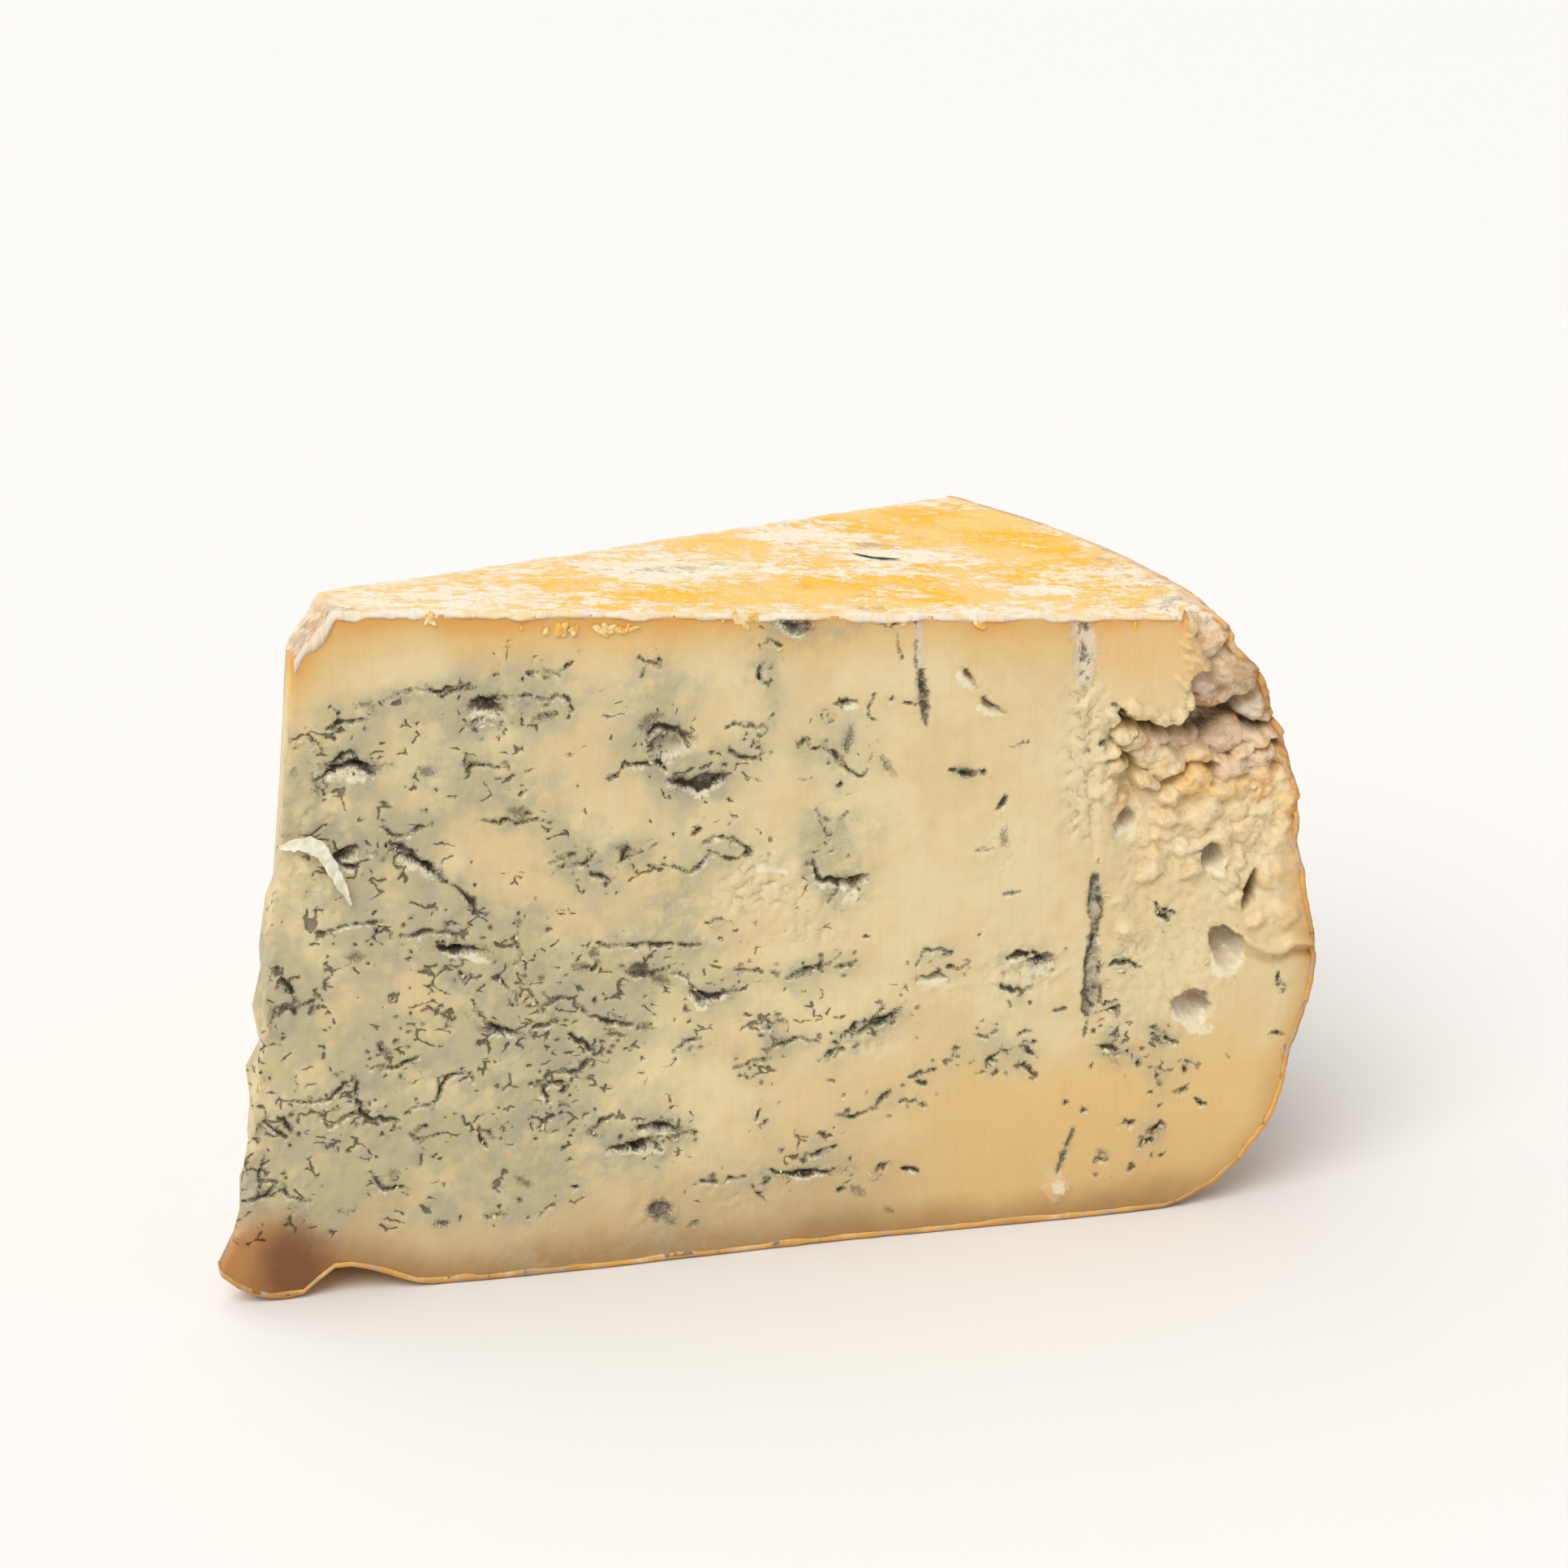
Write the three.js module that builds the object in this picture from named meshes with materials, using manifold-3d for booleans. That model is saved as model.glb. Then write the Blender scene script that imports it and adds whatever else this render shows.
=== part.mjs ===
// A wedge of natural-rind blue cheese, cut from a domed wheel about 340 mm across and 109 mm tall.
// Millimetres, +Z up, standing on its underside. The front cut face looks along -Y, the blunt tip
// points to -X and the rind of the rim to +X. Inside the functions, x, y and z count from the foot of
// the wheel's axis, which stands at wheelAxis in the part's own frame: x runs along the front cut.
import * as THREE from "three";
import { mergeVertices } from "three/addons/utils/BufferGeometryUtils.js";
import Module from "manifold-3d";

const wheelAxis = new THREE.Vector3(-83.4, -41.1, 0);
const wedgeAngle = THREE.MathUtils.degToRad(29.8);
const wheelRadius = 169.8; // at its widest
const widestHeight = 40;
const centreHeight = 109;
const rimHeight = 97.5; // where the top meets the shoulder
const crownSpan = 150; // from the axis to the shoulder
const undersideSpan = 145; // from the axis to where the underside lifts
const sideFall = 14; // how far the side leans in below the shoulder
const sideCurve = 1.6;
const shoulderRound = 6;
const waveDepth = 0.35; // of the cut faces
const waveLength = 80;

const tip = {
  topX: 11.4, // front corner of the blunt tip, at topZ
  topZ: 101,
  footFlare: 3, // the foot drags forwards
  flareHeight: 15,
  widthTop: 8, // of the blunt end, from the front cut to the back cut
  widthFoot: 4,
  bevelSlope: 1.1, // the top rind turns down over the tip
  ledge: 1.3, // a flake has come off above ledgeZ
  ledgeZ: 65,
};

// The foot rests up to restX and lifts towards the tip; behind it the front edge arches up to archHeight.
const foot = { restX: 6, lift: 3.8, reach: 8, archX: 15, archHeight: 4.4, archEnd: 30, archDepth: 14 };

// Where rind and paste have crumbled away beside the rim: its middle on the face, half sizes and depth.
const hollow = { x: 157, z: 67, halfWide: 18, halfTall: 23, depth: 10, roofZ: 85, roofFall: 0.16, crags: 0.17 };

// Swollen rind above the hollow and the large curds in it: place on the face, radius, depth of the middle.
const knobs = [
  { x: 150.4, z: 93.0, radius: 3.4, behind: 2.2 },
  { x: 153.6, z: 87.6, radius: 4.8, behind: 3.4 },
  { x: 156.8, z: 80.8, radius: 4.6, behind: 5.6 },
  { x: 152.4, z: 77.6, radius: 4.4, behind: 5.6 },
  { x: 146.8, z: 78.2, radius: 3.2, behind: 5.4 },
  { x: 158.8, z: 71.8, radius: 3.8, behind: 4.4 },
  { x: 161.4, z: 62.6, radius: 4.4, behind: 4.0 },
  { x: 163.2, z: 52.6, radius: 4.2, behind: 4.2 },
];

// Small curds are spread over the lower part of the hollow in a spiral that leaves out the knobs.
const curds = { count: 40, x: 154, z: 62, halfWide: 16, halfTall: 18, smallest: 1.9, largest: 3.1, seed: 11 };

// Openings in the paste: place, full width and height on the face, depth, tilt from level in degrees,
// and how far behind the face the middle lies, where it does.
const cavities = [
  { x: 19, z: 83.8, wide: 7.5, tall: 1.5, depth: 3.0, tilt: -6 },
  { x: 13.5, z: 82.4, wide: 4, tall: 1.2, depth: 1.8, tilt: 8 },
  { x: 21.4, z: 88.6, wide: 4.6, tall: 0.9, depth: 1.2, tilt: 10 },
  { x: 40.8, z: 92.2, wide: 7, tall: 1.8, depth: 2.6, tilt: 12 },
  { x: 66.8, z: 83.2, wide: 7.5, tall: 4.4, depth: 3.2, tilt: 14 },
  { x: 71.4, z: 77.2, wide: 8, tall: 2.6, depth: 2.8, tilt: 6 },
  { x: 17.6, z: 70.4, wide: 5, tall: 2.2, depth: 3.0, tilt: 20 },
  { x: 29.5, z: 67.4, wide: 11, tall: 1.7, depth: 2.4, tilt: -38 },
  { x: 34.9, z: 54.2, wide: 6, tall: 1.8, depth: 3.4, tilt: -8 },
  { x: 40.4, z: 40.6, wide: 5.2, tall: 1.3, depth: 2.2, tilt: -16 },
  { x: 62.4, z: 48.2, wide: 7.4, tall: 2.2, depth: 1.6, tilt: -14 },
  { x: 70.8, z: 43.2, wide: 4.8, tall: 2.2, depth: 2.6, tilt: -20 },
  { x: 63, z: 20.4, wide: 9, tall: 2.8, depth: 2.4, tilt: 12 },
  { x: 87.1, z: 12.1, wide: 9.5, tall: 1.3, depth: 1.6, tilt: 0 },
  { x: 94.2, z: 59, wide: 6.4, tall: 3.2, depth: 2.6, tilt: 10 },
  { x: 98, z: 35.8, wide: 9.5, tall: 2.2, depth: 1.8, tilt: 24 },
  { x: 107.4, z: 44.6, wide: 7.4, tall: 2.6, depth: 1.8, tilt: -12 },
  { x: 123, z: 43.2, wide: 7, tall: 3, depth: 2.2, tilt: 6 },
  { x: 65.6, z: 7.6, wide: 2.4, tall: 4.6, depth: 2.0, tilt: 8 },
  { x: 85.8, z: 101.2, wide: 4.6, tall: 2.4, depth: 1.8, tilt: -12 },
  { x: 138.6, z: 82.4, wide: 9, tall: 1.7, depth: 4.5, tilt: -18 },
  { x: 138, z: 64.6, wide: 3.6, tall: 3.0, depth: 2.8, tilt: 0 },
  { x: 152.4, z: 58.2, wide: 3.8, tall: 4.6, depth: 5.5, tilt: 28, behind: 1.5 },
  { x: 158.4, z: 52, wide: 2.8, tall: 5.6, depth: 8, tilt: -24, behind: 2 },
  { x: 154.6, z: 43.8, wide: 5.2, tall: 6.6, depth: 4.4, tilt: 24 },
  { x: 149.4, z: 35.2, wide: 6.8, tall: 4.4, depth: 3.2, tilt: -14 },
];

// Half-open channels left by the piercing needles, from their top to their foot on the face.
const needleChannels = [
  { top: [104.6, 104], foot: [105.8, 84], radius: 0.9 },
  { top: [130, 101], foot: [131.6, 74], radius: 1.1 },
  { top: [132.3, 62], foot: [133.2, 29], radius: 1.1 },
  { top: [130.2, 15.4], foot: [128.4, 8], radius: 0.7 },
];

// Openings in the back cut: distance from the axis and height, and sizes as above.
const backCavities = [
  { x: 30, z: 72, wide: 9, tall: 2.2, depth: 2.6, tilt: 10 },
  { x: 52, z: 38, wide: 8, tall: 2.4, depth: 2.8, tilt: -18 },
  { x: 64, z: 80, wide: 8, tall: 3.6, depth: 3.0, tilt: 14 },
  { x: 88, z: 56, wide: 9, tall: 2.6, depth: 2.8, tilt: -8 },
  { x: 104, z: 28, wide: 8, tall: 2.2, depth: 2.2, tilt: 22 },
  { x: 126, z: 66, wide: 7, tall: 3.2, depth: 2.8, tilt: 6 },
];

// Strips that the knife left on the face: a white shaving by the tip and a folded lip under the hollow.
const strips = [
  { path: [[8.6, 74.4], [12.4, 74.2], [15.6, 69.6], [18.6, 62.4]], wide: 3, thick: 1.2, behind: -0.4 },
  { path: [[156, 45.4], [160, 42.6], [164, 42.4], [167.4, 42.8]], wide: 3, thick: 3, behind: 1.2 },
];

// Divisions of the body, crowded towards the tip and the rim.
const grid = { along: 26, across: 5, up: 22, crowding: 0.6 };

const mix = THREE.MathUtils.lerp;
const ease = THREE.MathUtils.smoothstep; // (value, from, to)

// The outer outline, for t from 0 at the underside to 1 at the top: distance from the axis, and height.
function rimOutline(t) {
  const lowerPart = 0.36;
  const shoulderPart = 0.84;
  const sideTop = rimHeight - shoulderRound * 0.7;
  const sideTopReach = wheelRadius - sideFall;
  if (t < lowerPart) {
    const turn = (t / lowerPart) * (Math.PI / 2);
    const swell = wheelRadius - undersideSpan;
    return { reach: undersideSpan + swell * Math.sin(turn), height: widestHeight * (1 - Math.cos(turn)) };
  }
  if (t < shoulderPart) {
    const rise = (t - lowerPart) / (shoulderPart - lowerPart);
    return { reach: wheelRadius - sideFall * rise ** sideCurve, height: mix(widestHeight, sideTop, rise) };
  }
  const turn = ((t - shoulderPart) / (1 - shoulderPart)) * (Math.PI / 2);
  return {
    reach: mix(crownSpan, sideTopReach, Math.cos(turn)),
    height: mix(sideTop, rimHeight, Math.sin(turn)),
  };
}

function tipFrontX(z) {
  const lean = ((tip.topX - tip.ledge) * z) / tip.topZ;
  const ledge = tip.ledge * ease(z, tip.ledgeZ - 2, tip.ledgeZ + 1);
  return lean + ledge - tip.footFlare * Math.exp(-z / tip.flareHeight);
}

function tipWidth(z) {
  return mix(tip.widthFoot, tip.widthTop, z / tip.topZ);
}

// The top falls from the wheel's centre to the shoulder and turns down over the tip.
function topHeight(x, y) {
  const fromAxis = Math.hypot(x, y) / crownSpan;
  const crown = centreHeight - (centreHeight - rimHeight) * fromAxis;
  const bevel = tip.topZ + tip.bevelSlope * (x - tip.topX);
  return Math.min(crown, bevel);
}

// The underside lifts at the rounded foot and over a small arch behind it.
function undersideHeight(x, y) {
  if (x < foot.restX) return foot.lift * ((foot.restX - x) / foot.reach) ** 2;
  const rise = ease(x, foot.restX + 2, foot.archX);
  const fall = 1 - ease(x, foot.archX, foot.archEnd);
  return foot.archHeight * rise * fall * (1 - ease(y, 0, foot.archDepth));
}

// The cut faces aren't quite flat: low waves about 80 mm long.
function waviness(x, z) {
  const turns = (2 * Math.PI) / waveLength;
  return waveDepth * Math.sin(turns * x + 0.6) * Math.cos(turns * z + 0.3);
}

// A point of the wedge for along (tip to rim), across (front cut to back cut) and up (underside to top).
function wedgePoint(along, across, up) {
  const outline = rimOutline(up);
  const rise = outline.height / rimHeight;
  const turn = across * wedgeAngle;
  const rimX = outline.reach * Math.cos(turn);
  const rimY = outline.reach * Math.sin(turn);
  const tipZ = rise * tip.topZ;
  const x = mix(tipFrontX(tipZ), rimX, along);
  const y = mix(across * tipWidth(tipZ), rimY, along);
  const topX = mix(tip.topX, crownSpan * Math.cos(turn), along);
  const topY = mix(across * tip.widthTop, crownSpan * Math.sin(turn), along);
  const z = mix(undersideHeight(x, y), topHeight(topX, topY), rise);
  const bend = (1 - 2 * across) * waviness(x, z);
  return new THREE.Vector3(x - bend * Math.sin(turn), y + bend * Math.cos(turn), z);
}

function gridAlong(share) {
  return share - (grid.crowding * Math.sin(2 * Math.PI * share)) / (2 * Math.PI);
}

function wedgeBody() {
  const box = new THREE.BoxGeometry(1, 1, 1, grid.along, grid.across, grid.up);
  const places = box.attributes.position;
  for (let i = 0; i < places.count; i++) {
    const p = wedgePoint(gridAlong(places.getX(i) + 0.5), places.getY(i) + 0.5, places.getZ(i) + 0.5);
    places.setXYZ(i, p.x, p.y, p.z);
  }
  return box;
}

// An uneven ball: swells and dents of the given share of its size, turned differently for each number.
function unevenBall(detail, unevenness, number) {
  const ball = new THREE.IcosahedronGeometry(1, detail);
  ball.rotateX(number * 0.65);
  ball.rotateZ(number * 2.63);
  const places = ball.attributes.position;
  for (let i = 0; i < places.count; i++) {
    const p = new THREE.Vector3().fromBufferAttribute(places, i);
    const broad = Math.sin(3 * p.x + number) * Math.cos(4 * p.z + p.y);
    const fine = Math.sin(9 * p.x + 2 * number) * Math.sin(8 * p.z + number) * Math.cos(7 * p.y);
    p.multiplyScalar(1 + unevenness * (broad + 0.6 * fine));
    places.setXYZ(i, p.x, p.y, p.z);
  }
  return ball;
}

function hollowCutter() {
  const cutter = unevenBall(5, hollow.crags, 2);
  cutter.scale(hollow.halfWide, hollow.depth, hollow.halfTall);
  cutter.translate(hollow.x, 0, hollow.z);
  const places = cutter.attributes.position;
  for (let i = 0; i < places.count; i++) {
    const x = places.getX(i);
    const roof = hollow.roofZ - hollow.roofFall * (x - hollow.x) + 0.8 * Math.sin(0.8 * x);
    places.setZ(i, Math.min(places.getZ(i), roof));
  }
  return cutter;
}

function knobLumps() {
  return knobs.map(({ x, z, radius, behind }, i) => {
    return unevenBall(2, 0.08, i + 1).scale(radius, radius, 0.92 * radius).translate(x, behind, z);
  });
}

// Distance of the hollow's floor behind the face, before its crags.
function hollowFloor(x, z) {
  const reach = ((x - hollow.x) / hollow.halfWide) ** 2 + ((z - hollow.z) / hollow.halfTall) ** 2;
  return hollow.depth * Math.sqrt(Math.max(0, 1 - reach));
}

function curdLumps() {
  const lumps = [];
  const goldenAngle = Math.PI * (3 - Math.sqrt(5));
  for (let i = 0; i < curds.count; i++) {
    const spread = Math.sqrt((i + 0.5) / curds.count);
    const angle = goldenAngle * (i + curds.seed);
    const x = curds.x + curds.halfWide * spread * Math.cos(angle);
    const z = curds.z + curds.halfTall * spread * Math.sin(angle);
    const radius = mix(curds.largest, curds.smallest, THREE.MathUtils.pingpong(i * 0.37, 1));
    const overlapsKnob = knobs.some((knob) => Math.hypot(knob.x - x, knob.z - z) < 0.8 * knob.radius);
    const floor = hollowFloor(x, z);
    const pastRim = x > wheelRadius - 6 - 0.2 * Math.max(0, z - widestHeight);
    if (overlapsKnob || pastRim || floor < radius) continue;
    const behind = Math.min(floor - 0.2 * radius, 1.2 + 1.2 * radius);
    lumps.push(unevenBall(1, 0.16, i).scale(1.15 * radius, radius, 0.85 * radius).translate(x, behind, z));
  }
  return lumps;
}

// Openings lie flat on a cut face and reach into the paste.
function cavityCutter({ wide, tall, depth, tilt }, number) {
  const opening = unevenBall(1, 0.1, number).scale(wide / 2, depth, tall / 2);
  return opening.rotateY(-THREE.MathUtils.degToRad(tilt));
}

function frontCavityCutters() {
  return cavities.map((cavity, i) => cavityCutter(cavity, i).translate(cavity.x, cavity.behind ?? 0, cavity.z));
}

function backCavityCutters() {
  return backCavities.map((cavity, i) => {
    return cavityCutter(cavity, i).translate(cavity.x, 0, cavity.z).rotateZ(wedgeAngle);
  });
}

function channelCutters() {
  return needleChannels.map(({ top, foot: end, radius }) => {
    const from = new THREE.Vector3(end[0], 0, end[1]);
    const to = new THREE.Vector3(top[0], 0, top[1]);
    const path = new THREE.LineCurve3(from, to);
    const length = path.getLength();
    const channel = new THREE.CylinderGeometry(radius, radius, length, 8, 1);
    const upright = new THREE.Vector3(0, 1, 0);
    const direction = to.clone().sub(from).normalize();
    channel.applyQuaternion(new THREE.Quaternion().setFromUnitVectors(upright, direction));
    return channel.translate(...path.getPoint(0.5).toArray());
  });
}

function stripShape({ path, wide, thick, behind }) {
  const points = path.map(([x, z]) => new THREE.Vector3(x, behind, z));
  const section = new THREE.Shape();
  section.absellipse(0, 0, wide / 2, thick / 2, 0, 2 * Math.PI);
  const extrudePath = new THREE.CatmullRomCurve3(points);
  return new THREE.ExtrudeGeometry(section, { steps: 9, curveSegments: 4, extrudePath });
}

const wasm = await Module();
wasm.setup();

function solidOf(geometry) {
  const bare = geometry.clone();
  bare.deleteAttribute("normal");
  bare.deleteAttribute("uv");
  const merged = mergeVertices(bare, 1e-4);
  return new wasm.Manifold(
    new wasm.Mesh({
      numProp: 3,
      vertProperties: merged.attributes.position.array,
      triVerts: new Uint32Array(merged.index.array),
    }),
  );
}

function geometryOf(solid) {
  const { vertProperties, triVerts } = solid.getMesh();
  const geometry = new THREE.BufferGeometry();
  geometry.setAttribute("position", new THREE.BufferAttribute(vertProperties, 3));
  geometry.setIndex(new THREE.BufferAttribute(triVerts, 1));
  geometry.computeVertexNormals();
  return geometry;
}

// The wedge with its hollow and openings cut, its lumps and strips fused on, and loose scraps dropped.
function cheeseSolid() {
  let solid = solidOf(wedgeBody()).subtract(solidOf(hollowCutter()));
  for (const lump of [...knobLumps(), ...curdLumps()]) solid = solid.add(solidOf(lump));
  const cutters = [...frontCavityCutters(), ...backCavityCutters(), ...channelCutters()];
  for (const cutter of cutters) solid = solid.subtract(solidOf(cutter));
  for (const strip of strips) solid = solid.add(solidOf(stripShape(strip)));
  return solid.decompose().sort((a, b) => b.volume() - a.volume())[0];
}

const cheese = new THREE.Mesh(
  geometryOf(cheeseSolid()),
  new THREE.MeshStandardMaterial({ color: 0xe6cd96, roughness: 0.5, metalness: 0 }),
);
cheese.name = "cheese";
cheese.position.copy(wheelAxis);

const wedge = new THREE.Group();
wedge.add(cheese);

export default wedge;
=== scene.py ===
import bmesh
import bpy
import math
import numpy as np
from mathutils import Matrix, Vector


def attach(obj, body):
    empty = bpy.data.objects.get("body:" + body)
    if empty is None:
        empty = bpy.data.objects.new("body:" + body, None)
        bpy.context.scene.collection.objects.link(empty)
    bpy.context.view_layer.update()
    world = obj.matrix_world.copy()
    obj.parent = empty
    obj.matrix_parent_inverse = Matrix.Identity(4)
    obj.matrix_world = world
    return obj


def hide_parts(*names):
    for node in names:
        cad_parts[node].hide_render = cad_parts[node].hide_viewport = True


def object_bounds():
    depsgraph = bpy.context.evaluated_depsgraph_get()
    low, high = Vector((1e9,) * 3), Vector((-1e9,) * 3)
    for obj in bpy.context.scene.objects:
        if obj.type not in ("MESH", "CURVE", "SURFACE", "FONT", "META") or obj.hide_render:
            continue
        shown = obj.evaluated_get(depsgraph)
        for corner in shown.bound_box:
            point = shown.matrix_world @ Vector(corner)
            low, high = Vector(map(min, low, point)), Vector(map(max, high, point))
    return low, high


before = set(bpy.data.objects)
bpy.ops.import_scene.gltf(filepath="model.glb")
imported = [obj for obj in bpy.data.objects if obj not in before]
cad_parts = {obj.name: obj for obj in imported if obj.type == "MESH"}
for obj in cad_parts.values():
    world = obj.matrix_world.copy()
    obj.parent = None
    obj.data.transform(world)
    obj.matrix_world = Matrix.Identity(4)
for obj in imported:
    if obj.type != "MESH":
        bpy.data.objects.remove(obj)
cadLow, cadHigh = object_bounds()
print("frame loaded")

# Everything is worked out in millimetres from the foot of the wheel's axis: x runs along the front cut from the
# tip to the rim, y goes behind that cut and z is up. inFrame moves a finished shape into the frame, in metres.
wheel = {
    "axis": (-83.4, -41.1),  # its foot in the frame
    "wedgeAngle": math.radians(29.8),
    "radius": 169.8,
    "widestHeight": 40,
    "centreHeight": 109,
    "rimHeight": 97.5,
    "crownSpan": 150,
    "undersideSpan": 145,
    "outlineParts": (0.36, 0.84),  # shares of the outline where the side and the shoulder begin
    "sideFall": 14,
    "sideCurve": 1.6,
    "shoulderRound": 6,
    "shoulderDrop": 0.7,
    "waveDepth": 0.35,  # of the knife's cut
    "waveLength": 80,
    "waveStart": (0.6, 0.3),
}
tip = {"topX": 11.4, "topZ": 101, "flare": 3, "flareHeight": 15, "wideTop": 8, "wideFoot": 4, "slope": 1.1,
       "ledge": 1.3, "ledgeRise": (63, 66)}
foot = {"restX": 6, "lift": 3.8, "reach": 8, "archStart": 8, "archX": 15, "archHeight": 4.4, "archEnd": 30,
        "archDepth": 14}
cadMargin = 1e-5  # in metres: how far inside the frame's box every piece stays


def tone(red, green, blue):  # a colour as seen, 0 to 255, for a shader socket
    values = [channel / 255 for channel in (red, green, blue)]
    return tuple(v / 12.92 if v <= 0.04045 else ((v + 0.055) / 1.055) ** 2.4 for v in values) + (1.0,)


def mix(a, b, share):
    return a + (b - a) * share


def ease(value, start, end):
    share = np.clip((value - start) / (end - start), 0, 1)
    return share * share * (3 - 2 * share)


def spot(u, v, middleU, middleV, halfU, halfV, power=2):  # 1 in the middle of a soft patch, 0 far from it
    return np.exp(-(((u - middleU) / halfU) ** power + ((v - middleV) / halfV) ** power))


def unevenness(points, size, seed):  # smooth noise from -1 to 1, in lumps about size mm across
    entries, factors = 4096, (73856093, 19349663, 83492791)
    cell = np.asarray(points, float) / size
    low = np.floor(cell).astype(np.int64)
    part = cell - low
    part = part * part * (3 - 2 * part)
    table = np.random.default_rng(seed).uniform(-1, 1, entries)
    total = np.zeros(len(cell))
    for corner in range(8):
        step = np.array([corner & 1, corner >> 1 & 1, corner >> 2 & 1])
        at = (low + step) * factors
        index = (at[:, 0] ^ at[:, 1] ^ at[:, 2]) & (entries - 1)
        total += table[index] * np.prod(np.where(step, part, 1 - part), axis=1)
    return total


def uneven(points, *layers, start=0):  # noises added to start, each by its amount, size and seed
    return sum((amount * unevenness(points, size, seed) for amount, size, seed in layers), start)


def outlineTable(count=4000):  # of the rim, from the underside to the top: reach, height, outward direction
    t = np.linspace(0, 1, count)
    lowPart, shoulderPart = wheel["outlineParts"]
    sideTop = wheel["rimHeight"] - wheel["shoulderRound"] * wheel["shoulderDrop"]
    sideTopReach = wheel["radius"] - wheel["sideFall"]
    lowTurn = np.clip(t / lowPart, 0, 1) * math.pi / 2
    rise = np.clip((t - lowPart) / (shoulderPart - lowPart), 0, 1)
    topTurn = np.clip((t - shoulderPart) / (1 - shoulderPart), 0, 1) * math.pi / 2
    lowReach = wheel["undersideSpan"] + (wheel["radius"] - wheel["undersideSpan"]) * np.sin(lowTurn)
    sideReach = wheel["radius"] - wheel["sideFall"] * rise ** wheel["sideCurve"]
    topReach = mix(wheel["crownSpan"], sideTopReach, np.cos(topTurn))
    reach = np.where(t < lowPart, lowReach, np.where(t < shoulderPart, sideReach, topReach))
    lowHeight = wheel["widestHeight"] * (1 - np.cos(lowTurn))
    sideHeight = mix(wheel["widestHeight"], sideTop, rise)
    topHeight = mix(sideTop, wheel["rimHeight"], np.sin(topTurn))
    height = np.where(t < lowPart, lowHeight, np.where(t < shoulderPart, sideHeight, topHeight))
    run = np.gradient(reach)
    climb = np.gradient(height)
    length = np.concatenate([[0], np.cumsum(np.hypot(np.diff(reach), np.diff(height)))])
    return {"t": t, "reach": reach, "height": height, "outX": climb / np.hypot(run, climb), "length": length}


outline = outlineTable()
rimLength = outline["length"][-1]


def upShare(lengthShare):  # the outline's own parameter at a share of its length
    return np.interp(lengthShare * rimLength, outline["length"], outline["t"])


def tipFrontX(z):
    lean = (tip["topX"] - tip["ledge"]) * z / tip["topZ"]
    return lean + tip["ledge"] * ease(z, *tip["ledgeRise"]) - tip["flare"] * np.exp(-z / tip["flareHeight"])


def topSurface(x, y):
    fall = (wheel["centreHeight"] - wheel["rimHeight"]) * np.hypot(x, y) / wheel["crownSpan"]
    return np.minimum(wheel["centreHeight"] - fall, tip["topZ"] + tip["slope"] * (x - tip["topX"]))


def underside(x, y):
    lifted = foot["lift"] * (np.maximum(foot["restX"] - x, 0) / foot["reach"]) ** 2
    arch = ease(x, foot["archStart"], foot["archX"]) * (1 - ease(x, foot["archX"], foot["archEnd"]))
    return lifted + foot["archHeight"] * arch * (1 - ease(y, 0, foot["archDepth"]))


def wedgePoints(along, across, up, inset=0.0):  # shares of the way: tip to rim, front to back, underside to top
    reach = np.interp(up, outline["t"], outline["reach"]) - inset * np.interp(up, outline["t"], outline["outX"])
    rise = np.interp(up, outline["t"], outline["height"]) / wheel["rimHeight"]
    turn = across * wheel["wedgeAngle"]
    tipZ = rise * tip["topZ"]
    x = mix(tipFrontX(tipZ), reach * np.cos(turn), along)
    y = mix(across * mix(tip["wideFoot"], tip["wideTop"], tipZ / tip["topZ"]), reach * np.sin(turn), along)
    topX = mix(tip["topX"], wheel["crownSpan"] * np.cos(turn), along)
    topY = mix(across * tip["wideTop"], wheel["crownSpan"] * np.sin(turn), along)
    z = mix(underside(x, y) + inset, topSurface(topX, topY) - inset, rise)
    turns = 2 * math.pi / wheel["waveLength"]
    startX, startZ = wheel["waveStart"]
    wave = wheel["waveDepth"] * np.sin(turns * x + startX) * np.cos(turns * z + startZ)
    bend = (1 - 2 * across) * wave
    return np.stack([x - bend * np.sin(turn), y + bend * np.cos(turn), z], axis=1)


# The lower edge of the clean block above the hollow, from the face to the top of the rim.
ledge = [
    (133.5, 85.4), (136.7, 83.4), (138.9, 81.7), (141.3, 81.4), (143.6, 80.4), (145.6, 80.9), (146.8, 82.1),
    (147.6, 84.1), (147.3, 85.6), (147.7, 87.3), (149.7, 89.0), (149.4, 90.8), (147.5, 94.0), (146.2, 99.0),
]
hollow = {
    "heights": (38, 50, 58, 63, 67, 71, 74, 77, 81.5, 84, 99),
    "depths": (0, 0.5, 1.0, 1.6, 2.6, 4.6, 7.6, 9.6, 9.8, 3.6, 3.2),  # at those heights
    "farEdge": [(190, 99), (190, 30), (133.5, 30)],  # the rest of its outline, beyond the rim
    "wall": (-0.2, 1.0),
    "jagX": ((0.6, 2.6, 21), (0.5, 1.0, 52)),
    "jagZ": ((0.6, 2.6, 22), (0.5, 1.0, 53)),
    "startX": (133.5, 141),
    "rimX": (158, 164),
    "rimShare": 0.45,
    "reach": 30.0,  # how far behind the cut the wedge still bends with it
}
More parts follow.
